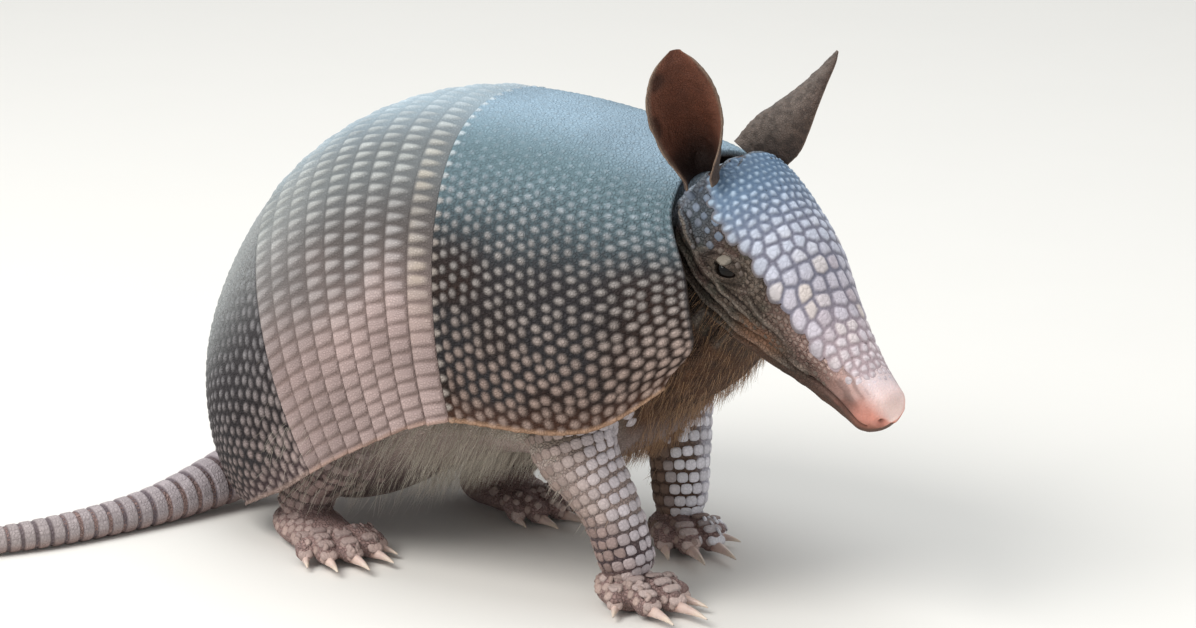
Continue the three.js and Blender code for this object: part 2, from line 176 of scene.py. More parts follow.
def cubic(low, high, leave, arrive, p):
    """A smooth way from `low` to `high` with the given slopes at its two ends."""
    rest = 1 - p
    return (
        low * (1 + 2 * p) * rest**2 + leave * p * rest**2
        + high * p * p * (3 - 2 * p) - arrive * p * p * rest
    )


def through(rows):
    """A smooth curve through rows of [place, value, ...], as in the solids."""
    rows = np.array(rows, float)
    x, y = rows[:, 0], rows[:, 1:]
    slope = np.diff(y, axis=0) / np.diff(x)[:, None]
    tangent = np.vstack([slope[:1], (slope[1:] + slope[:-1]) / 2, slope[-1:]])

    def at(place):
        place = np.clip(np.asarray(place, float), x[0], x[-1])
        i = np.clip(np.searchsorted(x, place, side="right") - 1, 0, len(x) - 2)
        span = (x[i + 1] - x[i])[..., None]
        p = (place - x[i])[..., None] / span
        return np.moveaxis(cubic(y[i], y[i + 1], tangent[i] * span, tangent[i + 1] * span, p), -1, 0)

    return at


def linear(code):
    """A hex colour as the linear values that a shader takes."""
    parts = np.array([int(code[i : i + 2], 16) / 255 for i in (1, 3, 5)])
    return np.where(parts <= 0.04045, parts / 12.92, ((parts + 0.055) / 1.055) ** 2.4)


def mixed(below, above, share):
    """Colours (hex or arrays) blended by `share`, one value per point."""
    below = linear(below) if isinstance(below, str) else below
    above = linear(above) if isinstance(above, str) else above
    return below + (above - below) * np.asarray(share)[..., None]


def layered(hue, *layers):
    """A colour with others laid over it in turn, each as (colour, share)."""
    for colour, share in layers:
        hue = mixed(hue, colour, share)
    return hue


def chance(*numbers):
    """A repeatable number from 0 to 1 for each place."""
    mixed_up = sum(n * k for n, k in zip(numbers, (12.9898, 78.233, 37.719)))
    return np.abs(np.sin(mixed_up) * 43758.5453) % 1


def mottle(points, size):
    """Smooth lumps about `size` across, from 0 to 1."""
    scaled = points / size
    base = np.floor(scaled)
    part = scaled - base
    part = part * part * (3 - 2 * part)
    total = 0
    for corner in np.ndindex(2, 2, 2):
        weight = np.prod(np.where(corner, part, 1 - part), axis=-1)
        cell = base + np.array(corner)
        total = total + weight * chance(cell[..., 0], cell[..., 1], cell[..., 2])
    return total


def smooth_path(points, shares):
    """Places on a centripetal curve through the points."""
    points = np.array(points, float)
    p = np.vstack([2 * points[0] - points[1], points, 2 * points[-1] - points[-2]])
    place = np.clip(np.asarray(shares, float), 0, 1) * (len(points) - 1)
    i = np.minimum(np.floor(place).astype(int), len(points) - 2)
    w = (place - i)[..., None]
    a, b, c, d = p[i], p[i + 1], p[i + 2], p[i + 3]
    d0, d1, d2 = (np.linalg.norm(gap, axis=-1, keepdims=True) ** 0.5 for gap in (b - a, c - b, d - c))
    start = ((b - a) / d0 - (c - a) / (d0 + d1) + (c - b) / d1) * d1
    end = ((c - b) / d1 - (d - b) / (d1 + d2) + (d - c) / d2) * d1
    return cubic(b, c, start, end, w)


def path_frame(points, shares):
    """Places along a curve, with the ways aside, up and ahead."""
    at = smooth_path(points, shares)
    along = unit(smooth_path(points, shares + 2e-3) - smooth_path(points, shares - 2e-3))
    aside = columns(-along[..., 1], along[..., 0], 0)
    flat = np.linalg.norm(aside, axis=-1, keepdims=True) < 1e-2
    aside = unit(np.where(flat, [0.0, 1.0, 0.0], aside))
    return at, aside, np.cross(along, aside), along


def even_shares(points, count):
    """Shares of a curve's parameter that are evenly spaced along its length."""
    fine = np.linspace(0, 1, 800)
    steps = np.linalg.norm(np.diff(smooth_path(points, fine), axis=0), axis=1)
    length = np.concatenate([[0], np.cumsum(steps)])
    return np.interp(np.linspace(0, length[-1], count), length, fine), length[-1]


# ---------------------------------------------------------------- forms of the body


carapace_at = through(CARAPACE)
RIM_SHARE = 1 - math.cos(math.radians(RIM_TURN))


def carapace(arc, across):
    """Places on the shell; `across` runs from -1 at its right rim to 1 at its left."""
    width, depth, lean, bow, _ = carapace_at(arc)
    turn = np.radians(across * RIM_TURN)
    down = depth * (1 - np.cos(turn)) / RIM_SHARE
    reach = np.where(arc < 0, MIDLINE["rear"], MIDLINE["front"])
    lean = np.radians(lean)
    return columns(
        MIDLINE["x"] + reach * np.sin(np.radians(arc)) + down * np.sin(lean) + bow * np.sin(turn) ** 2,
        np.sign(across) * width * np.abs(np.sin(turn)) ** BOXINESS,
        MIDLINE["z"] + MIDLINE["rise"] * np.cos(np.radians(arc)) - down * np.cos(lean),
    )


def carapace_normal(arc, across):
    small = 0.01
    along = carapace(arc + small, across) - carapace(arc - small, across)
    round_ = carapace(arc, across + small) - carapace(arc, across - small)
    return unit(np.cross(along, round_))


def turned(axis, degrees):
    """A turn about one axis, as a matrix."""
    c, s = math.cos(math.radians(degrees)), math.sin(math.radians(degrees))
    return {
        "x": np.array([[1, 0, 0], [0, c, -s], [0, s, c]]),
        "y": np.array([[c, 0, s], [0, 1, 0], [-s, 0, c]]),
        "z": np.array([[c, -s, 0], [s, c, 0], [0, 0, 1]]),
    }[axis]


HEAD_TURN = turned("z", HEAD["yaw"]) @ turned("y", HEAD["pitch"])
HEAD_AHEAD, _, HEAD_UP = HEAD_TURN.T
HEAD_AT = np.array(HEAD["at"], float)
head_form = through(HEAD_FORM)


def from_head(local):
    """Places given in the head's own axes: along it, to its left and up."""
    return local @ HEAD_TURN.T + HEAD_AT


def head_point(share, turn, lift=0.0):
    """Places on the head at a share of its length and a turn from its top, `lift` off its skin."""
    half, above, below = head_form(share)
    tall = np.where(np.cos(turn) > 0, above, below)
    return from_head(columns(
        share * HEAD["length"], (half + lift) * np.sin(turn), (tall + lift) * np.cos(turn)
    ))


def eye_place(side, lift):
    return head_point(np.array(EYE["along"]), np.array(side * math.radians(EYE["turn"])), lift)


def eye_middle(side):
    return eye_place(side, -EYE["depth"])


def eye_outward(side):
    return unit(eye_place(side, 5.0) - eye_middle(side))


eye_low, eye_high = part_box("right_eye")
SHIFT = (np.array(eye_low) + np.array(eye_high)) * MM_IN_METRE / 2 - eye_middle(-1)


def placed(points):
    """Places in the frame, in metres."""
    return (points + SHIFT) / MM_IN_METRE


def filled(share, cap):
    """How full a rounded form is at each share, 0 at its two ends."""
    end = np.maximum(1 - np.minimum(share, 1 - share) / cap, 0)
    return np.sqrt(np.maximum(1 - end * end, 0))


def tube(section, heart, cap, rings, sides):
    """A closed rounded form, as rings of points that close on its two ends."""
    share, turn = grid_of((1 - np.cos(np.linspace(0, math.pi, rings))) / 2, full_circle(sides))
    middle = heart(share)
    return middle + (section(share, turn) - middle) * filled(share, cap)[..., None]


def tube_faces(rings, sides, start=0):
    i, j = grid_of(np.arange(rings - 1), np.arange(sides))
    a, b = i * sides + j, i * sides + (j + 1) % sides
    return columns(a, b, b + sides, a + sides).reshape(-1, 4) + start


def trunk_form():
    def arc_at(share):
        return TRUNK["front"] + (TRUNK["rear"] - TRUNK["front"]) * share

    def place(arc, aside, down):
        lean = np.radians(carapace_at(arc)[2])
        top = carapace(arc, np.zeros_like(arc))
        return columns(top[..., 0] + down * np.sin(lean), aside, top[..., 2] - down * np.cos(lean))

    def section(share, turn):
        width, depth, _, bow, belly = carapace_at(arc_at(share))
        half_way = depth / RIM_SHARE
        sway = np.sin(turn)
        aside = np.sign(sway) * (width - TRUNK["inset"]) * np.abs(sway) ** BOXINESS
        rise = np.where(np.cos(turn) > 0, half_way - TRUNK["inset"], belly)
        points = place(arc_at(share), aside, half_way - rise * np.cos(turn))
        points[..., 0] += bow * sway**2
        return points

    def heart(share):
        depth = carapace_at(arc_at(share))[1]
        return place(arc_at(share), 0, depth / RIM_SHARE)

    return tube(section, heart, 0.14, 90, 120)


def girth_along(girths):
    return through([[i / (len(girths) - 1), girth] for i, girth in enumerate(girths)])


def limb_form(path, girths, cap, rings=70, sides=48):
    def section(share, turn):
        at, aside, up, _ = path_frame(path, share)
        return at + girth_along(girths)(share)[0][..., None] * about(turn, up, aside)

    return tube(section, lambda share: smooth_path(path, share), cap, rings, sides)


def head_solid():
    def heart(share):
        return from_head(columns(share * HEAD["length"], 0, 0))

    return tube(head_point, heart, 0.07, 110, 110)


def foot_place(foot):
    """The turn and place of a foot on the floor."""
    return turned("z", foot["heading"]), np.array([*foot["at"], 0.0])


def toe_path(foot, toe):
    aside, reach, splay, girth, _ = toe
    root = foot["palm"]["front"] - 10
    spread = math.tan(math.radians(splay)) * (reach - root)
    side = foot["side"]
    return np.array([
        [root, -side * aside, girth + 4],
        [(root + reach) / 2, -side * (aside + spread / 2), girth + 3],
        [reach, -side * (aside + spread), girth - 0.4],
    ])


def foot_forms(foot):
    """The palm and the toes of one foot, as closed forms."""
    palm = foot["palm"]
    level = 0.42 * palm["high"]

    def heart(share):
        return columns(palm["back"] + (palm["front"] - palm["back"]) * share, 0.0, level)

    def section(share, turn):
        points = heart(share)
        points[..., 1] = palm["half"] * np.sin(turn)
        points[..., 2] = (level + 0.5 * palm["high"] * np.cos(turn)) * (1 - 0.28 * share)
        return points

    forms = [tube(section, heart, 0.4, 40, 40)]
    for toe in foot["toes"]:
        girth = [toe[3], toe[3] * 1.08, toe[3] * 0.95, toe[3] * 1.02, toe[3] * 0.9]
        forms.append(limb_form(toe_path(foot, toe), girth, 0.2, 30, 24))
    turn, at = foot_place(foot)
    return [form @ turn.T + at for form in forms]


def tail_form():
    rings = 200
    at, aside, up, _ = path_frame(TAIL_PATH, even_shares(TAIL_PATH, rings)[0])
    evenly = np.linspace(0, 1, rings)
    radius = through(TAIL_GIRTH)(evenly)[0] * filled(evenly, 0.04) - TAIL_INSET
    ring = about(full_circle(48)[None], up[:, None], aside[:, None])
    return at[:, None] + ring * np.maximum(radius, 0)[:, None, None]


# ---------------------------------------------------------------- meshes and pieces


def mesh_from(name, points, faces, hue=None, values=None):
    """A mesh of faces with the same number of corners, with a colour and values on its points."""
    mesh = bpy.data.meshes.new(name)
    corners = faces.shape[1]
    mesh.vertices.add(len(points))
    mesh.vertices.foreach_set("co", placed(points).astype(np.float32).ravel())
    mesh.loops.add(faces.size)
    mesh.loops.foreach_set("vertex_index", faces.astype(np.int32).ravel())
    mesh.polygons.add(len(faces))
    mesh.polygons.foreach_set("loop_start", (np.arange(len(faces)) * corners).astype(np.int32))
    mesh.update(calc_edges=True)
    mesh.validate()
    paint(mesh, hue, values)
    return mesh


def paint(mesh, hue=None, values=None):
    if hue is not None:
        layer = mesh.color_attributes.new("Hue", "FLOAT_COLOR", "POINT")
        rgba = np.ones((len(mesh.vertices), 4), np.float32)
        rgba[:, :3] = np.clip(hue.reshape(-1, 3), 0, 1)
        layer.data.foreach_set("color", rgba.ravel())
    for key, value in (values or {}).items():
        layer = mesh.attributes.new(key, "FLOAT", "POINT")
        layer.data.foreach_set("value", value.astype(np.float32).ravel())


def in_scene(name, data):
    made = bpy.data.objects.new(name, data)
    bpy.context.scene.collection.objects.link(made)
    return made


def piece(name, mesh, finish, slot, *nodes):
    """One shown piece, riding on the body, that stands for the nodes named."""
    made = in_scene(name, mesh)
    if not mesh.materials:
        mesh.materials.append(finish)
    mesh.shade_smooth()
    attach(made, "root")
    if nodes:
        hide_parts(*nodes)


def sheet_faces(shape, start):
    """Triangles over a grid of points, and the points round its edge in order."""
    n, m = shape[:2]
    i, j = grid_of(np.arange(n - 1), np.arange(m - 1))
    a = (i * m + j).ravel() + start
    faces = np.concatenate([columns(a, a + m, a + m + 1), columns(a, a + m + 1, a + 1)])
    edge = np.concatenate([
        np.arange(m), np.arange(2, n + 1) * m - 1,
        (n - 1) * m + np.arange(m - 2, -1, -1), np.arange(n - 2, 0, -1) * m,
    ])
    return faces, edge + start


def closed_sheet(outer, inner, every=1):
    """Points and faces of a thin closed form between two grids; the inner keeps each `every`th row."""
    inner = inner[::every, ::every]
    points = np.concatenate([outer.reshape(-1, 3), inner.reshape(-1, 3)])
    top, rim = sheet_faces(outer.shape, 0)
    under, hem = sheet_faces(inner.shape, outer.size // 3)
    middle = (every + 1) // 2
    near = hem[(np.arange(len(rim)) + every - middle) // every % len(hem)]
    wall = columns(rim, np.roll(rim, -1), near)
    fill = columns(np.roll(rim, -middle)[::every], np.roll(hem, -1), hem)
    return points, np.concatenate([top, under[:, ::-1], wall, fill])


def lined(hue, points, lining):
    """A closed sheet's colours: its outer side's own, then one plain colour inside."""
    inside = len(points) - hue.size // 3
    return np.concatenate([hue.reshape(-1, 3), np.tile(linear(lining), (inside, 1))])


# ---------------------------------------------------------------- shaders


def add(tree, kind, inputs=None, **settings):
    """Adds a node with its settings, and its inputs as values or as links."""
    made = tree.nodes.new("ShaderNode" + kind)
    for name, value in settings.items():
        setattr(made, name, value)
    for name, value in (inputs or {}).items():
        if isinstance(value, bpy.types.NodeSocket):
            tree.links.new(value, made.inputs[name])
        else:
            made.inputs[name].default_value = value
    return made


def finish_of(name, roughness, ior=1.45, specular=0.5):
    made = bpy.data.materials.new(name)
    made.use_nodes = True
    tree = made.node_tree
    shader = tree.nodes["Principled BSDF"]
    shader.inputs["Roughness"].default_value = roughness
    shader.inputs["IOR"].default_value = ior
    shader.inputs["Specular IOR Level"].default_value = specular
    return made, tree, shader


def per_mm(size):
    """A texture scale, in metres, for a pattern that repeats every `size` millimetres."""
    return MM_IN_METRE / size


def shaded(tree, shader, low, high, factor):
    """Base colour: the piece's own colour, varied between two strengths by `factor`."""
    own = add(tree, "Attribute", attribute_name="Hue")
    strength = add(tree, "MapRange", {"Value": factor, "To Min": low, "To Max": high}).outputs[0]
    varied = add(tree, "VectorMath", {0: own.outputs["Color"], "Scale": strength}, operation="SCALE")
    tree.links.new(varied.outputs["Vector"], shader.inputs["Base Color"])


def raised(tree, shader, heights):
    """Fine relief from (height, depth in metres) pairs, one on top of the other."""
    normal = None
    for height, depth in heights:
        inputs = {"Height": height, "Distance": depth, "Strength": 1.0}
        if normal is not None:
            inputs["Normal"] = normal
        normal = add(tree, "Bump", inputs).outputs["Normal"]
    tree.links.new(normal, shader.inputs["Normal"])


def horn(name, grain, depth, roughness, low=0.86, high=1.12, gloss=0.26):
    """Horny scutes: keratin over bone, dull and dry, with fine pits and a slight sheen on its tops."""
    made, tree, shader = finish_of(name, roughness, ior=1.54, specular=gloss)
    at = add(tree, "TexCoord").outputs["Object"]
    cells = add(tree, "TexVoronoi", {"Vector": at, "Scale": per_mm(grain)}, feature="DISTANCE_TO_EDGE")
    edge = add(tree, "MapRange", {"Value": cells.outputs["Distance"], "From Max": 0.28})
    dirt = add(tree, "TexNoise", {"Vector": at, "Scale": per_mm(7), "Detail": 6.0, "Roughness": 0.62})
    fine = add(tree, "TexNoise", {"Vector": at, "Scale": per_mm(0.7), "Detail": 3.0})
    both = add(tree, "Math", {
        0: dirt.outputs["Fac"], 1: edge.outputs[0], 2: 0.08,
    }, operation="MULTIPLY_ADD")
    shaded(tree, shader, low, high, both.outputs[0])
    raised(tree, shader, [(edge.outputs[0], depth), (fine.outputs["Fac"], 0.00012)])
    rough = add(tree, "MapRange", {
        "Value": dirt.outputs["Fac"], "To Min": roughness - 0.12, "To Max": roughness + 0.14,
    })
    tree.links.new(rough.outputs[0], shader.inputs["Roughness"])
    return made


def bare_hide(name, pebble, depth, roughness, crease):
    """Bare hide: dry wrinkled skin, pebbled and creased all over, but smooth and soft on the muzzle."""
    made, tree, shader = finish_of(name, roughness, ior=1.42, specular=0.3)
    shader.inputs["Subsurface Weight"].default_value = 0.06
    shader.inputs["Subsurface Radius"].default_value = (0.004, 0.0018, 0.0012)
    at = add(tree, "TexCoord").outputs["Object"]
    coarse = add(tree, "Attribute", attribute_name="Coarse").outputs["Fac"]
    cells = add(tree, "TexVoronoi", {"Vector": at, "Scale": per_mm(pebble)}, feature="DISTANCE_TO_EDGE")
    edge = add(tree, "MapRange", {"Value": cells.outputs["Distance"], "From Max": 0.22})
    pebbled = add(tree, "Math", {0: edge.outputs[0], 1: coarse}, operation="MULTIPLY")
    dirt = add(tree, "TexNoise", {"Vector": at, "Scale": per_mm(9), "Detail": 7.0, "Roughness": 0.66})
    folds = add(tree, "TexNoise", {
        "Vector": at, "Scale": per_mm(crease), "Detail": 5.0, "Distortion": 1.6,
    })
    creased = add(tree, "Math", {0: folds.outputs["Fac"], 1: coarse}, operation="MULTIPLY")
    fine = add(tree, "TexNoise", {"Vector": at, "Scale": per_mm(0.6), "Detail": 2.0})
    plain = add(tree, "MapRange", {"Value": coarse, "To Min": 0.85, "To Max": 0.0})
    filled_in = add(tree, "Math", {0: pebbled.outputs[0], 1: plain.outputs[0]}, operation="ADD")
    both = add(tree, "Math", {
        0: dirt.outputs["Fac"], 1: filled_in.outputs[0], 2: 0.05,
    }, operation="MULTIPLY_ADD")
    shaded(tree, shader, 0.7, 1.26, both.outputs[0])
    raised(tree, shader, [
        (creased.outputs[0], 0.0016), (pebbled.outputs[0], depth), (fine.outputs["Fac"], 0.0001),
    ])
    return made


def clouded(tree, shader, size, low, high, detail=2.0):
    """Gives a finish soft clouds of its own colour, `size` millimetres across."""
    at = add(tree, "TexCoord").outputs["Object"]
    clouds = add(tree, "TexNoise", {"Vector": at, "Scale": per_mm(size), "Detail": detail})
    shaded(tree, shader, low, high, clouds.outputs["Fac"])
    return clouds.outputs["Fac"]


def claw_horn():
    """Claw horn: smooth translucent keratin, pinkish at the root and ivory at the point."""
    made, tree, shader = finish_of("claw_horn", 0.36, ior=1.54)
    shader.inputs["Subsurface Weight"].default_value = 0.08
    shader.inputs["Subsurface Radius"].default_value = (0.003, 0.002, 0.001)
    raised(tree, shader, [(clouded(tree, shader, 1.5, 0.86, 1.1, 3.0), 0.00015)])
    return made


def wet_eye():
    """A wet eye: near-black brown under a clear, very smooth film."""
    made, tree, shader = finish_of("wet_eye", 0.14, ior=1.38, specular=0.3)
    clouded(tree, shader, 0.8, 0.8, 1.2)
    return made


def coarse_hair():
    """Coarse body hair: pale straw keratin, a little glossy along each strand."""
    made, tree, shader = finish_of("coarse_hair", 0.5, ior=1.55)
    clouded(tree, shader, 4, 0.8, 1.2)
    return made


def studio_paper():
    """Seamless paper: an even, matt, pale floor."""
    made, tree, shader = finish_of("studio_paper", 0.9, specular=0.1)
    at = add(tree, "TexCoord").outputs["Object"]
    tooth = add(tree, "TexNoise", {"Vector": at, "Scale": per_mm(60), "Detail": 2.0})
    tone = add(tree, "MapRange", {"Value": tooth.outputs["Fac"], "To Min": 0.985, "To Max": 1.0})
    pulp = tuple(linear("#e6e4df"))
    paper = add(tree, "VectorMath", {0: pulp, "Scale": tone.outputs[0]}, operation="SCALE")
    tree.links.new(paper.outputs["Vector"], shader.inputs["Base Color"])
    return made


SHIELD_HORN = horn("shield_horn", 1.5, 0.00035, 0.6, gloss=0.13)
BAND_HORN = horn("band_horn", 1.1, 0.0002, 0.58, 0.8, 1.16)
HEAD_HORN = horn("head_horn", 2.2, 0.00015, 0.5, 0.86, 1.1)
SCALE_HORN = horn("leg_scale_horn", 1.6, 0.00015, 0.55, 0.84, 1.14)
TAIL_HORN = horn("tail_horn", 1.4, 0.0002, 0.55, 0.8, 1.14)
HIDE = bare_hide("bare_hide", 1.5, 0.0004, 0.68, 5.0)
EAR_HIDE = bare_hide("ear_hide", 1.0, 0.00025, 0.62, 9.0)
CLAW_HORN = claw_horn()
WET_EYE = wet_eye()
HAIR = coarse_hair()

# ---------------------------------------------------------------- scutes of the shell


# How far a scute may lie from its place in the pattern, as a share of the pitch.
STRAY = 0.13


def nearest_scute(u, v, pitch_u, pitch_v):
    """Offsets from, and numbers of, the nearest centre of staggered columns of scutes."""
    best = None
    for step in (0, 1):
        column = np.floor(u / pitch_u) + step
        half = 0.5 * (np.abs(column) % 2)
        row = np.round(v / pitch_v - half)
        stray_u = STRAY * pitch_u * (chance(column, row) - 0.5) * 2
        stray_v = STRAY * pitch_v * (chance(row, column + 31) - 0.5) * 2
        du = u - column * pitch_u - stray_u
        dv = v - (row + half) * pitch_v - stray_v
        found = np.stack([du, dv, column, row])
        if best is None:
            best = found
        best = np.where(du**2 + dv**2 < best[0] ** 2 + best[1] ** 2, found, best)
    return best


# The plain inner side of a plate needs only one point for each four of the carved outer side,
# whose points lie this far apart in millimetres.
INNER_EVERY = 4
SHIELD_GRID, BAND_GRID, PLATE_GRID = 0.56, 0.5, 0.4


def shell_grid(rear, front, step, trim=(0, 0)):
    """Arc, across and their lengths in millimetres over part of the shell; `trim` rounds its corners."""
    fine = np.linspace(rear, front, 60)
    side = carapace(fine, np.full(60, 0.55))
    lengths = np.concatenate([[0], np.cumsum(np.linalg.norm(np.diff(side, axis=0), axis=1))])
    ring = carapace(np.full(400, (rear + front) / 2), np.linspace(0, 1, 400))
    flank = np.linalg.norm(np.diff(ring, axis=0), axis=1).sum()
    rows, sides = (INNER_EVERY * int(size / step / INNER_EVERY) for size in (lengths[-1], 2 * flank))
    arc = np.interp(np.linspace(0, lengths[-1], rows + 1), lengths, fine)
    arc, across = grid_of(arc, np.linspace(-1, 1, sides + 1))
    share = (arc - rear) / (front - rear)
    corner = ease(0.84, 1.0, np.abs(across)) ** 2
    arc = arc + corner * (trim[0] * (1 - share) - trim[1] * share)
    u = np.interp(arc, fine, lengths)
    return arc, across, u, across * flank, lengths[-1], flank


def shell_piece(name, grid, thickness, height, hue, finish, slot, flare=0.0):
    """A shield or band between the relief of its outer side and its plain inner side."""
    arc, across = grid[:2]
    surface = carapace(arc, across)
    surface[..., 0] += flare
    normal = carapace_normal(arc, across)
    outer = surface + normal * height[..., None]
    points, faces = closed_sheet(outer, surface - normal * thickness, INNER_EVERY)
    piece(name, mesh_from(name, points, faces, lined(hue, points, "#4a3d36")), finish, slot, name)


def shield_ground(tint, surface, away, rim, small_scales):
    """Colour between a shield's scutes: blue-grey on the back, partly the shell's own grey and partly a
    painted sky sheen, nearly black on the flank.
    """
    lumps = mottle(surface, 26.0)
    deep = mixed(tint["dark"], tint["brown"], ease(0.35, 0.75, lumps) * ease(0.48, 0.72, away))
    # The blue-grey of the back is partly the shell's own grey and partly a painted sky sheen.
    return layered(
        tint["back"], (tint["mid"], ease(0.06, 0.32, away)),
        (deep, ease(0.32, 0.64, away + 0.1 * (lumps - 0.5))),
        (deep * 0.62, ease(0.55, 0.8, away)),
        (deep * 1.7, 0.5 * small_scales),
        (tint["rim"], 0.75 * ease(13, 3, rim)),
    )


def shield(name, rear, front, pitch, tint, edged):
    """A shield of the shell: round pale scutes in staggered columns among small dark ones."""
    grid = shell_grid(rear, front, SHIELD_GRID, (0, 2.4) if edged else (4.0, 0))
    arc, across, u, v, length, flank = grid
    surface = carapace(arc, across)
    away = np.abs(across)
    # From the plain back, partly worn and partly washed out by the painted sky sheen, the scutes grow
    # clearer down the flank.
    down = ease(0.2, 0.47, np.abs(across + 0.05 * (mottle(surface, 14.0) - 0.5)))
    low_down = ease(0.6, 0.95, away)
    ahead = ease(0.55, 1.0, u / length) * ease(0.35, 0.6, away)
    du, dv, column, row = nearest_scute(u, v, pitch * 0.93, pitch)
    luck = chance(column, row)
    spread_u = pitch * (0.21 + 0.09 * down + 0.06 * low_down + 0.03 * ahead) * (0.88 + 0.24 * luck)
    spread_v = pitch * (0.19 + 0.08 * down + 0.08 * low_down + 0.06 * ahead) * (1.1 - 0.2 * luck)
    reach = np.sqrt((du / spread_u) ** 2 + (dv / spread_v) ** 2)
    dome = ease(1.5, 0.3, reach)
    # Small dark scales lie round each pale one, six or so to a ring.
    ring = ease(1.2, 1.7, reach) * ease(3.2, 2.2, reach)
    ring = ring * (0.5 + 0.5 * np.cos(6 * np.arctan2(dv, du) + 3 * luck))
    rim = (1 - away) * flank
    rolled = ease(2.4, 0.8, rim)
    tapered = ease(0, 1.2, length - u if edged else np.minimum(u, length - u))
    margin, flare = np.zeros_like(u), np.zeros_like(u)
    if edged:
        # Along the joint with the bands the scutes are narrow wedges that point forwards.
        place = v / WEDGE["spacing"]
        off = np.abs(place - np.round(place)) * WEDGE["spacing"]
        along = u / WEDGE["long"]
        half = WEDGE["spacing"] * (0.3 - 0.2 * along)
        margin = ease(1.4, 0.4, off / np.maximum(half, 0.2))
        margin = margin * ease(1.05, 0.5, along) * ease(0, 0.2, along)
        dome = dome * ease(0.85, 1.3, along)
    height = 0.55 * dome * (0.5 + 0.5 * down) + 0.5 * margin + 0.13 * ring - 0.2 + 0.4 * rolled
    height = height * tapered - 0.5 * (1 - tapered)
    if edged:
        # Low on its front edge the shield swells forwards, and its blue, partly a painted sky sheen,
        # runs lower there.
        flare = 7.0 * ease(0.45, 1.0, u / length) * ease(0.36, 0.66, away) * ease(1.0, 0.86, away)
        away = away - 0.07 * ease(0.5, 1.0, u / length) * ease(0.75, 0.5, away)
    between = shield_ground(tint, surface, away, rim, ring * down)
    # The bluer pale of the scutes on the back is partly a painted sky sheen.
    pale = layered(
        tint["pale_top_sheen"], (tint["pale"], ease(0.3, 0.62, away)),
        (tint["pale_low"], low_down * 0.8),
    )
    pale = pale * (0.84 + 0.28 * luck + 0.4 * ahead * low_down)[..., None]
    # The bluer wedges on the back are partly a painted sky sheen.
    hue = layered(
        between, (pale, dome * (0.3 + 0.7 * down)),
        (mixed("#b9c4ca", "#a0968f", ease(0.25, 0.6, away)), margin),
        (tint["lip"], rolled * 0.85),
        (tint["dark"], 0.7 * (1 - tapered) * ease(0.15, 0.4, away)),
    )
    hue = hue * (0.88 + 0.24 * mottle(surface, 20.0))[..., None]
    shell_piece(name, grid, SHELL, height, hue, SHIELD_HORN, "shield_horn", flare)


def band_hues(number, surface, away, full, share, luck):
    """Colours of a band's gaps and scutes: blue-grey on the back, partly their own grey and partly a
    painted sky sheen, pinker low down.
    """
    levels = ease(0.04, 0.32, away), ease(0.32, 0.55, away), full
    # The blue-grey first colours, for the back, are partly own grey and partly a painted sky sheen.
    gap = layered("#9fb0ba", *zip(("#6c7173", "#56504e", "#83706b"), levels))
    pale = layered("#b6c4cc", *zip(("#b3b6b4", "#a39f9e", "#b59f9b"), levels))
    rearmost = ease(4.5, 8.5, number)
    pale = pale * (1 - (0.09 + 0.11 * full) * rearmost)[..., None]
    if number == 1:
        worn = 0.5 * mottle(surface, 9.0) * ease(0.2, 0.4, away) * ease(0.9, 0.6, away)
        pale = mixed(pale, "#b3a083", worn)
    pale = pale * (1 + (0.26 - 0.14 * full) * (luck - 0.5))[..., None]
    # Each scute darkens towards the band's front edge, under the rear edge of the band before: painted
    # shade.
    pale = mixed(pale, pale * 0.72, ease(0.1, 0.9, share) * 0.6)
    return mixed(gap, pale, 0.42 * rearmost * (1 - full)), pale


def band(number):
    """A band of the shell: one row of rounded wedges, wide behind, over a dark hinge."""
    pitch = (ARC["shoulder"] - ARC["hip"]) / BANDS["count"]
    front = ARC["shoulder"] - (number - 1) * pitch - HINGE
    rear = front - pitch + 2 * HINGE
    grid = shell_grid(rear, front, BAND_GRID)
    arc, across, u, v, length, flank = grid
    surface = carapace(arc, across)
    share = u / length
    spacing = WEDGE["spacing"]
    place = v / spacing + 0.5 * (number % 2) + 0.1 * (mottle(surface, 30.0) - 0.5)
    row = np.round(place)
    dv = (place - row) * spacing
    luck = chance(row, number)
    away = np.abs(across)
    full = ease(0.5, 0.82, away + 0.1 * (mottle(surface, 18.0) - 0.5))
    top = ease(0.1, 0.3, away)
    behind = spacing * (0.3 + 0.04 * top + 0.13 * full)
    ahead = spacing * (0.1 + 0.03 * top + 0.26 * full)
    half = behind + (ahead - behind) * ease(0.1, 1.0, share)
    half = half * (0.92 + 0.14 * luck)
    dome = ease(1.5 - 0.26 * full, 0.25 + 0.27 * full, np.abs(dv) / half)
    dome = dome * ease(0.0, 0.24 - 0.1 * full, share)
    dome = dome * ease(0.92 + 0.08 * full, 0.52 + 0.34 * full, share)
    rolled = ease(2.2, 0.6, (1 - away) * flank)
    hinge = 0.25 + 0.5 * ease(0.35, 0.7, away)
    # All but the first band have their front edge tucked under the one before.
    tucked = 0.0 if number == 1 else 1.0
    height = BANDS["step"] * (1 - 2 * share) + 0.75 * dome - 0.3 + 0.3 * rolled
    height = height - hinge * (0.7 * ease(0.07, 0, share) + 0.4 * tucked * ease(0.94, 1, share))
    gap, pale = band_hues(number, surface, away, full, share, luck)
    hue = layered(
        gap, (pale, dome),
        ("#a98877", rolled * 0.6),
        # Darker at both edges: the hinge skin's own dark, deepened with painted shade where the edges
        # sink into the joint.
        ("#3c332f", hinge * (0.6 * ease(0.06, 0.0, share) + 0.4 * tucked * ease(0.95, 1, share))),
    )
    hue = hue * (0.86 + 0.28 * mottle(surface, 24.0))[..., None]
    shell_piece(f"band_{number}", grid, BANDS["thickness"], height, hue, BAND_HORN, "band_horn")
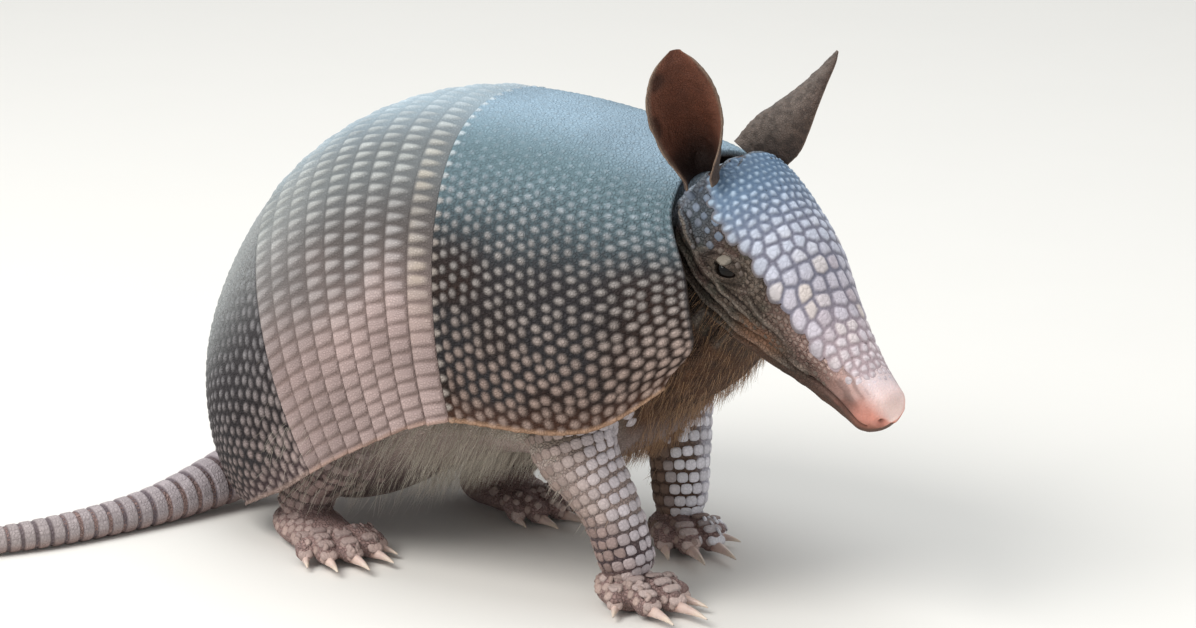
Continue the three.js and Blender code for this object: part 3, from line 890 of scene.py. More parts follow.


# The blue-grey of the back, of the upper flank and of the pale scutes on top is partly the shell's own
# grey and partly a painted sky sheen.
SHOULDER_TINT = {
    "back": "#90a7b7", "mid": "#667c84", "dark": "#2c2a2c", "brown": "#2b1e19", "rim": "#482e22",
    "pale_top_sheen": "#8c99a2", "pale": "#928c89", "pale_low": "#967e73", "lip": "#a8866d",
}
PELVIC_TINT = {
    "back": "#b6bec2", "mid": "#a0a3a3", "dark": "#343133", "brown": "#2c2628", "rim": "#47383a",
    "pale_top_sheen": "#909596", "pale": "#7e7b7d", "pale_low": "#917f7a", "lip": "#98837a",
}


def make_shell():
    shoulder, hip = ARC["shoulder"] + HINGE, ARC["hip"] - HINGE
    shield("shoulder_shield", shoulder, ARC["front"], 5.2, SHOULDER_TINT, edged=True)
    shield("pelvic_shield", ARC["rear"], hip, 5.0, PELVIC_TINT, edged=False)
    for number in range(1, BANDS["count"] + 1):
        band(number)


# ---------------------------------------------------------------- the head's shield of plates


# The small plates behind the eye run a little further down than the solid shield under them.
plate_spread = through([[0.06, 50], [0.14, 58], [0.22, 61], [0.35, 58.5], [0.6, 70], [0.86, 62]])
PLATED = {"from": 0.06, "to": 0.9, "stray": 0.19}
PLATE_SIZES = [
    [0.05, 2.8], [0.2, 3.8], [0.3, 5.0], [0.42, 6.3],
    [0.6, 6.7], [0.74, 5.0], [0.84, 3.5], [0.93, 2.6],
]


def plate_centres():
    """Centres of the head's plates as (along, around) in millimetres, small behind and large ahead."""
    centres = []
    along = PLATED["from"] * HEAD["length"] + 1.2
    odd = 0
    while along < PLATED["to"] * HEAD["length"]:
        share = along / HEAD["length"]
        size = float(through(PLATE_SIZES)(share)[0])
        half = float(head_form(share)[0]) * math.radians(float(plate_spread(share)[0]))
        count = max(int(round(2 * half / size)), 3)
        for i in range(count + 1):
            around = (i + 0.5 * odd - count / 2) * size
            if abs(around) < half - 0.15 * size:
                stray = chooser.uniform(-PLATED["stray"], PLATED["stray"], 2) * size
                centres.append([along + stray[0], around + stray[1], size * chooser.uniform(0.88, 1.12)])
        along += 0.9 * size
        odd = 1 - odd
    return np.array(centres)


def plate_hues(share, spread, luck, crown):
    """Colours of the seams and of the plates, bluer behind and pinker ahead; the blue is partly their
    own and partly a painted sky sheen.
    """
    # The blue behind is partly the plates' own colour and partly a painted sky sheen.
    pale = layered(
        "#a9c0d6", ("#c2c7d6", ease(0.1, 0.38, share)),
        ("#cbc4ce", ease(0.36, 0.6, share)),
        ("#d4c6b6", 0.6 * ease(0.74, 0.95, luck) * ease(0.3, 0.5, share)),
        ("#cdb9be", 0.5 * ease(0.0, 0.25, 0.25 - luck) * ease(0.3, 0.5, share)),
        ("#d8ccd0", ease(0.62, 0.82, share)),
    )
    # Each plate is painted lighter towards its crown: a painted highlight on its dome.
    shade = (0.86 + 0.2 * luck) * (0.9 + 0.14 * crown)
    pale = pale * shade[..., None]
    # The blue seams behind are partly their own colour and partly a painted sky sheen.
    seam_hue = layered(
        "#5c7590", ("#777685", ease(0.12, 0.42, share)),
        ("#b39fa3", ease(0.5, 0.84, share)),
        ("#6e6460", 0.8 * ease(0.86, 1.05, np.abs(spread)) * ease(0.75, 0.6, share)),
    )
    fade = ease(1.12, 0.8, np.abs(spread)) * 0.35 + 0.65
    return seam_hue, pale * fade[..., None]


def nearest_plates(along, around):
    """How far places are from their plate's centre and seam, with the plate's size and luck."""
    centres = plate_centres()
    flat = columns(along.ravel(), around.ravel())
    waver = [mottle(columns(*flat.T, 9 * layer), 2.4) - 0.5 for layer in (0, 1)]
    flat = flat + 0.7 * columns(*waver)
    away = np.linalg.norm(flat[:, None] - centres[None, :, :2], axis=-1) - 0.12 * centres[None, :, 2]
    order = np.argsort(away, axis=1)[:, :2]
    first, second = np.take_along_axis(away, order, 1).T.reshape(2, *along.shape)
    size = centres[order[:, 0], 2].reshape(along.shape)
    return first + 0.12 * size, (second - first) / 2, size, chance(order[:, 0], 3).reshape(along.shape)


def make_head_shield():
    """The head's shield: pale many-sided plates with grey seams, small and blue-grey by the ears, the
    blue partly a painted sky sheen.
    """
    low, high = PLATED["from"] - 0.025, PLATED["to"] + 0.03
    rows = INNER_EVERY * int((high - low) * HEAD["length"] / PLATE_GRID / INNER_EVERY)
    share, spread = grid_of(
        np.linspace(low, high, rows + 1), np.linspace(-1.14, 1.14, INNER_EVERY * 40 + 1)
    )
    turn = spread * np.radians(plate_spread(share)[0])
    reach, seam, size, luck = nearest_plates(share * HEAD["length"], turn * head_form(share)[0])
    small = ease(0.3, 0.1, share)
    inside = ease((0.64 - 0.08 * small) * size, (0.46 - 0.08 * small) * size, reach)
    behind = ease(0.42, 0.16, share)
    plate = ease(0.12 + 0.25 * behind, 1.3 + 0.2 * behind, seam) * inside
    crown = 1 - np.clip(reach / (0.7 * size), 0, 1) ** 2
    worn = ease(0.92, 0.72, share)
    outermost = ease(0.95 * size, 0.7 * size, reach)
    height = 0.12 + plate * (0.3 + 0.3 * crown) * (0.4 + 0.6 * worn) - 2.6 * (1 - outermost)
    height = height - 0.5 * (1 - worn)
    outer = head_point(share, turn, 0.2)
    normal = unit(np.cross(np.gradient(outer, axis=0), np.gradient(outer, axis=1)))
    outer = outer + normal * height[..., None]
    seam_hue, pale = plate_hues(share, spread, luck, crown)
    hue = mixed(seam_hue, pale, plate)
    hue = hue * (0.92 + 0.16 * mottle(outer, 9.0))[..., None]
    points, faces = closed_sheet(outer, head_point(share, turn, -2.2), INNER_EVERY)
    mesh = mesh_from("head_shield", points, faces, lined(hue, points, "#5b4a44"))
    piece("head_shield_plates", mesh, HEAD_HORN, "head_horn", "head_shield")


# ---------------------------------------------------------------- the skin


def ear_frame(pose):
    """An ear's turn and the place of its root."""
    side = pose["side"]
    turn = turned("y", pose["ahead"] - HEAD["pitch"]) @ turned("x", -side * pose["out"])
    turn = HEAD_TURN @ turn @ turned("z", side * pose["open"])
    return turn, from_head(np.array([pose["along"], side * pose["apart"], EAR["up"]]))


def ear_form(pose):
    """An ear: a rolled scoop with a rounded rim, as a closed sheet, with its share and side."""
    turn, at = ear_frame(pose)
    quarter = math.pi / 2
    share, spread = grid_of(np.linspace(-0.06, 1.0, 130), np.sin(np.linspace(-quarter, quarter, 90)))
    half = EAR["width"] * through(EAR_OUTLINE)(share)[0]
    half = half * (1 - pose.get("point", 0) * ease(0.1, 0.95, share))
    bend, deep = through(EAR_ROLL)(share)
    bend = np.radians(bend)
    radius = half / bend
    around = spread * bend
    thin = EAR["thickness"] * (0.5 + 0.5 * ease(1, 0.8, np.abs(spread))) * ease(1.02, 0.9, share) / 2
    layers = []
    for side in (1, -1):
        flat = columns(share * EAR["length"], spread * half, 5 * side)
        pebble = 0.45 * (mottle(flat, 1.7) - 0.5) * (1 if side > 0 else 0.5)
        veins = 0.3 * (mottle(flat * [0.35, 1, 1], 2.6) - 0.5) * (side < 0)
        shell = radius + side * thin + 0.5 * (mottle(flat, 6.0) - 0.5) + pebble + veins
        scoop = radius - shell * np.cos(around) * deep
        layers.append(columns(scoop, shell * np.sin(around), share * EAR["length"]) @ turn.T + at)
    points, faces = closed_sheet(*layers)
    marks = columns(share.ravel(), spread.ravel())
    return points, faces, np.concatenate([marks, marks]), share.size


def joined_forms(forms):
    """The points and faces of all the forms together."""
    points, faces, start = [], [], 0
    for form in forms:
        rings, sides = form.shape[:2]
        points.append(form.reshape(-1, 3))
        faces.append(tube_faces(rings, sides, start))
        start += rings * sides
    return np.concatenate(points), np.concatenate(faces)


def voxel_union(points, faces, size):
    """One closed skin round all the forms, as a smoothed mesh of quads."""
    mesh = mesh_from("forms", points, faces)
    made = in_scene("forms", mesh)
    remesh = made.modifiers.new("remesh", "REMESH")
    remesh.mode = "VOXEL"
    remesh.voxel_size = size / MM_IN_METRE
    smooth = made.modifiers.new("smooth", "SMOOTH")
    smooth.iterations = 6
    smooth.factor = 0.5
    depsgraph = bpy.context.evaluated_depsgraph_get()
    result = bpy.data.meshes.new_from_object(made.evaluated_get(depsgraph))
    bpy.data.objects.remove(made)
    bpy.data.meshes.remove(mesh)
    return result


def of_points(mesh, key):
    """The vectors that a mesh holds for its points."""
    values = np.zeros(len(mesh.vertices) * 3, np.float32)
    mesh.vertices.foreach_get(key, values)
    return values.reshape(-1, 3).astype(float)


def coords(mesh):
    """A mesh's points in the animal's own axes, in millimetres."""
    return of_points(mesh, "co") * MM_IN_METRE - SHIFT


def refine(mesh, chosen):
    """Halves the mesh's edges where `chosen` says so for both ends."""
    work = bmesh.new()
    work.from_mesh(mesh)
    work.verts.ensure_lookup_table()
    edges = [e for e in work.edges if chosen[e.verts[0].index] and chosen[e.verts[1].index]]
    bmesh.ops.subdivide_edges(work, edges=edges, cuts=1, use_grid_fill=True, smooth=0)
    work.to_mesh(mesh)
    work.free()
    mesh.update()


def head_local(points):
    """Share along the head, turn from its top, and how far out a place is against the head's skin."""
    local = (points - HEAD_AT) @ HEAD_TURN
    share = local[:, 0] / HEAD["length"]
    half, above, below = head_form(share)
    aside, up = local[:, 1] / half, local[:, 2] / np.where(local[:, 2] > 0, above, below)
    return share, np.arctan2(aside, up), np.sqrt(aside**2 + up**2), local


def near_head(points):
    share, _, out, _ = head_local(points)
    return (share > -0.02) & (share < 1.1) & (out < 1.35)


# Lines of the face, as [share of the head, turn from the top in degrees]: folds and the mouth.
MOUTH = [[0.62, 113], [0.72, 111], [0.84, 107], [0.95, 110], [1.0, 114]]
CHEEK_FOLDS = [
    ([[0.14, 112], [0.3, 117], [0.45, 117], [0.58, 116], [0.68, 114]], 1.8, 1.5),
    ([[0.1, 98], [0.22, 103], [0.34, 106], [0.5, 107], [0.66, 108]], 1.2, 1.2),
    ([[0.26, 95], [0.36, 98], [0.48, 99], [0.6, 102], [0.72, 104]], 1.0, 1.1),
    ([[0.42, 84], [0.52, 88], [0.62, 95], [0.74, 100]], 0.7, 1.1),
    ([[0.05, 122], [0.16, 128], [0.3, 130], [0.44, 130], [0.56, 127]], 1.6, 1.6),
    ([[0.04, 138], [0.16, 144], [0.3, 147], [0.44, 146]], 1.3, 1.7),
    ([[0.02, 84], [0.1, 86], [0.18, 89], [0.24, 94]], 0.9, 1.1),
]
EYE_SLIT = {"long": 5.1, "tall": 2.1, "tilt": -20}


def off_line(line, share, turn, half):
    """Distance in millimetres from a line on the head, and how far along it is inside its ends."""
    start, end = line[0][0], line[-1][0]
    ends = ease(start - 0.03, start + 0.06, share) * ease(end + 0.03, end - 0.05, share)
    away = (np.abs(np.degrees(turn)) - through(line)(share)[0]) * np.pi / 180 * half
    return away, ends


def face_relief(points, normal):
    """Moves of the skin on the face: folds, mouth and nostrils; with masks for its colours."""
    share, turn, out, local = head_local(points)
    half = head_form(share)[0]
    on = (share > 0) & (out > 0.8)
    lift, ridge, pits = np.zeros((3, len(points)))
    wander = 2.8 * (mottle(points, 7.0) - 0.5)
    for line, height, width in CHEEK_FOLDS:
        away, ends = off_line(line, share, turn, half)
        fold = bell((away + wander) / width) * ends
        valley = bell((away + wander + 1.7 * width) / (0.7 * width)) * ends
        lift += on * height * (0.8 * fold - 0.75 * valley)
        ridge += on * (fold - valley)
    away, ends = off_line(MOUTH, share, turn, half)
    groove = bell(away / 0.7) * ends
    lip = bell((away + 1.7) / 1.2) * ends
    lift += on * (0.55 * lip - 1.6 * groove)
    # Fine wrinkles run along the sides of the muzzle.
    degrees = np.abs(np.degrees(turn))
    wrinkled = ease(0.5, 0.66, share) * ease(0.99, 0.9, share) * ease(34, 56, degrees)
    lift += on * wrinkled * (mottle(local * [0.2, 1.0, 1.0], 1.9) - 0.5)
    moved = points + normal * lift[:, None]
    for side in (-1, 1):
        nostril = np.array([HEAD["length"] + 0.6, side * 5.6, 1.0])
        away = np.linalg.norm((local - nostril) * [0.7, 1.0, 1.2], axis=1)
        pit = bell(away / 1.9)
        moved += normal * (0.45 * bell((away - 3.2) / 1.1) - 2.2 * pit)[:, None]
        pits = np.maximum(pits, pit)
    return moved, {"ridge": ridge, "mouth": groove * on, "pits": pits}


def eyelids(points, side):
    """Closes the skin over the eye but for a slit, with rolled lids and fine folds round it."""
    outward = eye_outward(side)
    tilt = math.radians(EYE_SLIT["tilt"])
    down = unit(np.cross(outward, HEAD_AHEAD))
    down = down * np.sign(-down[2])
    long_way = unit(HEAD_AHEAD * math.cos(tilt) + down * math.sin(tilt))
    tall_way = unit(np.cross(outward, long_way))
    local = points - eye_middle(side)
    a, b, c = local @ long_way, local @ tall_way, local @ outward
    radial = np.sqrt(a**2 + b**2)
    near = (radial < 16) & (c > -6)
    e = np.sqrt((a / EYE_SLIT["long"]) ** 2 + (b / EYE_SLIT["tall"]) ** 2)
    lid = EYE["radius"] + 0.75
    cover = np.sqrt(np.maximum(lid**2 - radial**2, 0)) + 0.7 * bell((e - 1.3) / 0.28)
    ripple = 0.6 * np.cos((e - 1.3) * 4.2) * bell((e - 1.3) / 2.2) * ease(1.0, 1.3, e)
    wanted = np.maximum(cover, c) + 0.4 * ripple
    new = c + (wanted - c) * ease(12.0, 5.5, radial)
    new = new - bell((radial - 7.6) / 1.6)
    opening = ease(1.1, 0.9, e)
    new = new * (1 - opening) + np.minimum(new, 1.0) * opening
    shift = np.where(near, new - c, 0)
    masks = [opening, ease(3.4, 1.1, e), -ripple * ease(1.5, 2.0, e)]
    return points + outward * shift[:, None], *[np.where(near, mask, 0) for mask in masks]


def neck_room(points, chosen):
    """How far each chosen place is from the shoulder shield's inner side, in millimetres."""
    arc, across = grid_of(np.linspace(ARC["front"] - 18, ARC["front"], 24), np.linspace(-1, 1, 160))
    inner = (carapace(arc, across) - carapace_normal(arc, across) * SHELL).reshape(-1, 3)
    tree = KDTree(len(inner))
    for number, place in enumerate(inner):
        tree.insert(place, number)
    tree.balance()
    room = np.zeros(len(points))
    room[chosen] = [tree.find(place)[2] for place in points[chosen]]
    return room


def body_relief(points):
    """Folds of the neck and loose skin of the legs and trunk, as a lift, with a mask for its colours
    that paints highlight on ridges and shade in creases.
    """
    lift = 0.5 * (mottle(points, 9.0) - 0.5) + 0.3 * (mottle(points, 4.0) - 0.5)
    share, _, out, _ = head_local(points)
    neck = ease(30, 38, points[:, 0]) * ease(74, 84, points[:, 2])
    behind = ease(0.26, 0.04, share) * neck * ease(1.0, 1.12, out)
    behind = np.maximum(behind, neck * ease(0.12, 0.04, share) * ease(-0.2, 0.1, share + 0.2))
    sweep = points[:, 0] * 0.95 - 0.16 * points[:, 2] + 3.4 * mottle(points, 14.0)
    crease = np.sin(sweep * 2 * math.pi / 5.6) + 0.5 * np.sin(sweep * 2 * math.pi / 2.7 + 1.0)
    lift = lift + behind * (crease - 0.3)
    rear = ease(-84, -94, points[:, 0]) * ease(24, 32, points[:, 2])
    wrinkled = np.abs(2 * mottle(points * [1, 0.45, 1.3], 6.0) - 1)
    lift = lift + rear * (1.4 * ease(0.0, 0.35, wrinkled) - 1.0)
    # The loose neck swells to fill the shoulder shield's opening, all but a narrow gap.
    free = np.maximum(ease(0.03, -0.05, share), ease(1.12, 1.3, out) * ease(0.3, 0.1, share))
    collar = ease(14, 24, points[:, 0]) * free * ease(84, 104, points[:, 2])
    room = neck_room(points, collar > 0)
    lift = lift + collar * np.clip(0.8 * room - 2.2, 0, 8.5)
    # The mask: the neck's fold ridges and creases and the rump's wrinkle creases, for painted highlight
    # and painted shade.
    return lift, behind * crease - rear * ease(0.25, 0.0, wrinkled)


def flesh_hue(points, normal, share, out, folds):
    """Colour of the trunk, neck, legs and feet, with painted light on the neck behind the head and on
    the left foreleg's front, painted highlight and shade on folds and creases, and painted shade under
    the shell.
    """
    x, y, z = points.T
    belly = ease(84, 60, z) * ease(0.35, -0.4, normal[:, 2]) * ease(30, 18, x)
    # Under the shell's rim on the sides the skin is dark brown: its own brown with painted shade from
    # the shell.
    flank = ease(60, 74, z) * ease(96, 84, z) * ease(30, 14, x) * ease(24, 36, np.abs(y))
    under = np.maximum(ease(1.02, 1.14, out), ease(0.08, 0.0, share))
    chest = ease(20, 38, x) * under * ease(158, 136, z) * ease(26, 42, z)
    chest = chest * ease(34, 26, np.abs(y) - 0.4 * np.maximum(z - 50, 0))
    # Behind the head the neck, which lies in shade, is painted lighter and bluer upwards: painted light.
    nape_painted_light = ease(14, 24, x) * ease(0.1, 0.0, share) * ease(98, 122, z)
    legs = ease(70, 54, z) * ease(1.05, 1.2, out)
    # The left foreleg's front is painted pale grey-blue: a painted highlight.
    left_front_highlight = legs * ease(26, 33, y) * ease(-0.1, 0.4, normal[:, 0]) * ease(-20, 0, x)
    left_inner = legs * ease(10, 25, y) * ease(0.1, -0.6, normal[:, 1]) * ease(-30, -10, x)
    return layered(
        "#7c6f66", ("#67584f", mottle(points, 22.0)),
        ("#beb5a7", 0.85 * belly),
        # Dark brown under the shell's rim: own brown with painted shade.
        ("#5d4836", 0.75 * flank),
        (mixed("#38251b", "#6a4a34", mottle(points, 5.0)), 0.95 * chest),
        # Painted light on the neck behind the head.
        (mixed("#8b7f76", "#94a3b1", ease(112, 146, z)), 0.9 * nape_painted_light),
        # Fold ridges painted paler and bluer up the neck, a painted highlight; the rump's wrinkle
        # creases painted dark, a painted shade.
        (mixed("#9b9087", "#a9b5c0", ease(110, 145, z)), 0.7 * ease(0.2, 1.0, folds)),
        ("#2f231d", 0.7 * ease(-0.2, -0.9, folds)),
        (mixed("#57494d", "#a99791", ease(24, 44, z)), 0.9 * legs),
        ("#6f5c5a", 0.6 * legs * ease(-50, -70, x)),
        # Painted highlight on the left foreleg's front.
        ("#c4c1cc", left_front_highlight),
        ("#56402f", 0.8 * left_inner),
        ("#a98d87", 0.75 * ease(19, 10, z)),
    )


def cheek_skin_hue(points, share, degrees, ridge):
    """Dark mottled cheeks, paler on their folds and dark between them as painted highlight and painted
    shade, bluer towards the ears, with painted blue-grey light high behind the head.
    """
    return layered(
        "#54473d", ("#403730", mottle(points, 9.0)),
        ("#5b4640", 0.6 * ease(0.5, 0.7, mottle(points, 6.0))),
        ("#4c4d42", 0.5 * ease(0.5, 0.25, mottle(points, 5.0))),
        ("#4d5760", 0.8 * ease(0.3, 0.14, share) * ease(98, 78, degrees)),
        # Blue-grey on the skin high behind the head: painted light on the neck's folds.
        ("#8a93a0", 0.75 * ease(0.13, 0.03, share) * ease(116, 134, points[:, 2])),
        # Fold ridges paler, a painted highlight, and valleys dark, a painted shade.
        ("#82776d", 0.8 * ease(0.3, 0.95, ridge)),
        ("#241b17", 0.8 * ease(-0.15, -0.75, ridge)),
        ("#8d6248", 0.5 * ease(0.42, 0.5, share) * ease(0.66, 0.56, share) * ease(94, 102, degrees)),
        ("#8b7268", 0.6 * ease(100, 80, degrees) * ease(0.46, 0.64, share)),
    )


def snout_hue(points, local, share, degrees):
    """The pink muzzle, streaked along its sides, with a paler tip; lighter on top and darker underneath,
    partly its own colour and partly painted highlight and shade.
    """
    streak = mottle(local * [0.22, 1.0, 1.0], 1.7)
    # Paler on top and darker underneath: partly own colour, partly painted highlight and shade.
    pink = layered(
        "#dccacb", ("#b6968f", ease(30, 66, degrees)),
        ("#896b63", ease(66, 94, degrees)),
        ("#664d43", ease(98, 122, degrees)),
    )
    # The tip's very pale top is a painted highlight and its dark underside a painted shade.
    nose = layered(
        "#f8dad3", ("#da9686", ease(30, 76, degrees)),
        ("#a9705f", ease(90, 112, degrees)),
        ("#5f453a", ease(108, 130, degrees)),
    )
    return layered(
        pink, (pink * 0.6, 0.9 * ease(0.56, 0.4, streak) * ease(30, 56, degrees)),
        ("#7a4d40", 0.4 * ease(0.55, 0.75, mottle(points, 4.0)) * ease(34, 70, degrees)),
        (nose, ease(0.88, 0.98, share)),
    )


def skin_hue(points, normal, masks):
    """Colour of the skin at each point, by what part of the body it is on."""
    share, turn, out, local = head_local(points)
    degrees = np.abs(np.degrees(turn))
    snout = np.maximum(ease(0.66, 0.84, share), 0.7 * ease(0.5, 0.78, share) * ease(112, 90, degrees))
    below = ease(112, 128, degrees) * ease(0.3, 0.6, share) * (1 - ease(0.88, 0.98, share))
    face = layered(
        cheek_skin_hue(points, share, degrees, masks["ridge"]),
        (snout_hue(points, local, share, degrees), snout),
        ("#4f3c33", 0.7 * below),
        # The mouth's groove and the nostrils painted dark: painted shade.
        ("#3a241c", 0.85 * np.clip(masks["mouth"], 0, 1)),
        ("#3b1f18", 0.9 * ease(0.25, 0.8, masks["pits"])),
        ("#5c5047", 0.7 * masks["around_eye"]),
        # The lid folds: dark in their grooves, a painted shade, and pale on their ridges, a painted
        # highlight.
        ("#2b211c", 0.6 * ease(0.1, 0.5, masks["lid_folds"])),
        ("#857a70", 0.5 * ease(0.1, 0.5, -masks["lid_folds"])),
        # The skin in the eye's slit painted near black: painted shade.
        ("#120d0b", masks["opening"]),
    )
    head = ease(0.0, 0.08, share) * ease(1.34, 1.2, out) * ease(60, 75, points[:, 2])
    hue = mixed(flesh_hue(points, normal, share, out, masks["folds"]), face, head)
    return hue * (0.9 + 0.2 * mottle(points, 5.0))[..., None]


def ear_hue(marks, points, outer):
    """Colour of an ear: red-brown and dark in the scoop, with painted shade deep in it towards the root,
    greyer on its rim and pebbled back.
    """
    share, spread = marks[:, 0], np.abs(marks[:, 1])
    inside = layered(
        "#583223", ("#714838", ease(0.35, 0.95, spread)),
        ("#38231b", 0.8 * ease(0.5, 0.25, mottle(points, 9.0))),
        # Deep in the scoop towards the root: painted shade.
        ("#241611", ease(0.42, 0.05, share)),
        ("#7d6557", ease(0.84, 1.0, spread)),
    )
    back = layered(
        "#675c55", ("#594a42", ease(0.3, 0.9, spread)),
        ("#3b332f", 0.5 * ease(0.55, 0.3, mottle(points, 1.4))),
    )
    hue = np.where(outer[:, None], back, inside)
    hue = mixed(hue, "#836f60", 0.8 * ease(0.96, 1.0, spread))
    return hue * (0.85 + 0.3 * mottle(points, 4.0))[..., None]


SKIN_GRID, QUICK_GRID = 1.08, 1.5


def make_skin():
    """One skin over trunk, neck, head, tail, legs and feet, with the ears grown out of it."""
    forms = [trunk_form(), head_solid(), limb_form(NECK["path"], NECK["girth"], 0.15), tail_form()]
    forms += [limb_form(path, LEG_GIRTHS[name], 0.12) for name, path in LEG_PATHS.items()]
    for foot in FEET.values():
        forms += foot_forms(foot)
    mesh = voxel_union(*joined_forms(forms), SKIN_GRID)
    refine(mesh, near_head(coords(mesh)))
    refine(mesh, near_face(coords(mesh)))
    body = coords(mesh)
    normal = of_points(mesh, "normal")
    lift, folds = body_relief(body)
    body, masks = face_relief(body + normal * lift[:, None], normal)
    masks["folds"] = folds
    around_eyes = []
    for side in (-1, 1):
        body, *found = eyelids(body, side)
        around_eyes.append(found)
    masks.update(zip(("opening", "around_eye", "lid_folds"), np.sum(around_eyes, axis=0)))
    body[:, 2] = np.maximum(body[:, 2], 0)
    mesh.vertices.foreach_set("co", placed(body).astype(np.float32).ravel())
    mesh.update()
    share, _, out, _ = head_local(body)
    muzzle = ease(0.66, 0.88, share) * ease(1.6, 1.3, out)
    paint(mesh, skin_hue(body, of_points(mesh, "normal"), masks), {"Coarse": 1 - 0.86 * muzzle})
    mesh.materials.clear()
    mesh.materials.append(HIDE)
    mesh.materials.append(EAR_HIDE)
    return mesh


def near_face(points):
    """The muzzle's end and the surroundings of the eyes, which carry the finest shapes."""
    share, _, out, _ = head_local(points)
    close = np.zeros(len(points), bool)
    for side in (-1, 1):
        close |= np.linalg.norm(points - eye_middle(side), axis=1) < 12
    return close | ((share > 0.9) & (share < 1.1) & (out < 1.35))


def grow_ears(mesh):
    """Joins both ears into the skin's mesh."""
    work = bmesh.new()
    work.from_mesh(mesh)
    hue_layer = work.verts.layers.float_color["Hue"]
    coarse_layer = work.verts.layers.float["Coarse"]
    for pose in EAR_POSE.values():
        points, faces, marks, count = ear_form(pose)
        hue = ear_hue(marks, points, np.arange(len(points)) < count)
        verts = [work.verts.new(place) for place in placed(points)]
        for vert, colour in zip(verts, hue):
            vert[hue_layer] = (*colour, 1)
            vert[coarse_layer] = 0.7
        for corners in faces:
            work.faces.new([verts[i] for i in corners]).material_index = 1
    work.to_mesh(mesh)
    work.free()
    mesh.update()


# ---------------------------------------------------------------- scales, claws, tail, eyes, hair


RAY_REACH = 45


class Skin:
    """The finished skin as something to set scales and hair on."""

    def __init__(self, mesh):
        mesh.calc_loop_triangles()
        tri = np.zeros(len(mesh.loop_triangles) * 3, np.int32)
        mesh.loop_triangles.foreach_get("vertices", tri)
        self.points = coords(mesh)
        self.normals = of_points(mesh, "normal")
        self.faces = tri.reshape(-1, 3)
        self.tree = BVHTree.FromPolygons(self.points.tolist(), self.faces.tolist())

    def outward(self, origin, way):
        """Where a ray from inside the skin leaves it for the last time in its reach, and its normal."""
        far = origin + way * RAY_REACH
        place, normal, _, _ = self.tree.ray_cast(far.tolist(), (-way).tolist(), RAY_REACH)
        return None if place is None else (np.array(place), np.array(normal))


# A scale's rings from its crown outwards, as (reach, share of its height); the last is sunk into
# the skin by that many millimetres.
DOME_RINGS = [(0.62, 0.9), (0.93, 0.45), (1.0, -0.5)]
DOME_CORNERS = 16
DOME_SQUARENESS = 3.3


def domes(centres, normal, along, half_along, half_across, height):
    """Low domed scales with slightly squared outlines, set into the skin at each centre."""
    across = unit(np.cross(normal, along))
    along = unit(np.cross(across, normal))
    turn, power = full_circle(DOME_CORNERS), DOME_SQUARENESS
    c, s = np.cos(turn), np.sin(turn)
    r = (np.abs(c) ** power + np.abs(s) ** power) ** (-1 / power)
    points, count = [centres + normal * height[:, None]], len(centres)
    flat = [np.zeros((count, 2))]
    for number, (reach, up) in enumerate(DOME_RINGS, 1):
        level = np.where(up < 0, up, up * height)[:, None, None]
        u = (c * r * reach)[None, :, None] * half_along[:, None, None] * along[:, None]
        v = (s * r * reach)[None, :, None] * half_across[:, None, None] * across[:, None]
        points.append((centres[:, None] + u + v + normal[:, None] * level).reshape(-1, 3))
        flat.append(np.tile(columns(c * r, s * r) * number / len(DOME_RINGS), (count, 1)))
    first, j = grid_of(np.arange(count), np.arange(DOME_CORNERS))
    k = (j + 1) % DOME_CORNERS
    starts = [count + (ring * count + first) * DOME_CORNERS for ring in range(len(DOME_RINGS))]
    fans = columns(first, starts[0] + j, starts[0] + k).reshape(-1, 3)
    quads = [columns(a + j, b + j, b + k, a + k).reshape(-1, 4) for a, b in zip(starts, starts[1:])]
    return np.concatenate(points), np.concatenate(quads), fans, np.concatenate(flat)


def bake_map(mesh, spots):
    """The coat's bake map, with each point of the mesh at its own spot."""
    layer = mesh.uv_layers.new(name="OFBake")
    corner_index = np.zeros(len(mesh.loops), np.int32)
    mesh.loops.foreach_get("vertex_index", corner_index)
    layer.data.foreach_set("uv", spots[corner_index].astype(np.float32).ravel())


def leg_unwrap(centres):
    """Places on the skin of legs and feet, each unrolled about its leg into a quarter of a square."""
    x, y, z = centres.T
    spots = np.zeros((len(centres), 2))
    for number, path in enumerate(LEG_PATHS.values()):
        hind, left = divmod(number, 2)
        here = ((x < -20) == bool(hind)) & ((y > 0) == bool(left))
        path = np.array(path[::-1], float)
        ahead, aside = (at - np.interp(z, path[:, 2], path[:, n]) for n, at in enumerate((x, y)))
        round_ = np.arctan2(aside, ahead) / math.tau + 0.5
        drop = (z - np.hypot(ahead, aside) + 60) / 150
        spots[here] = (columns(round_ + hind * 1.08, drop + left * 1.08) * 0.46 + 0.02)[here]
    return np.clip(spots, 0.01, 0.99)


def head_unwrap(centres):
    """Places on the skin of the head, unrolled about its long axis, as shares of a square."""
    share, turn, _, _ = head_local(centres)
    return np.clip(columns(share, turn / math.tau + 0.5), 0.01, 0.99)


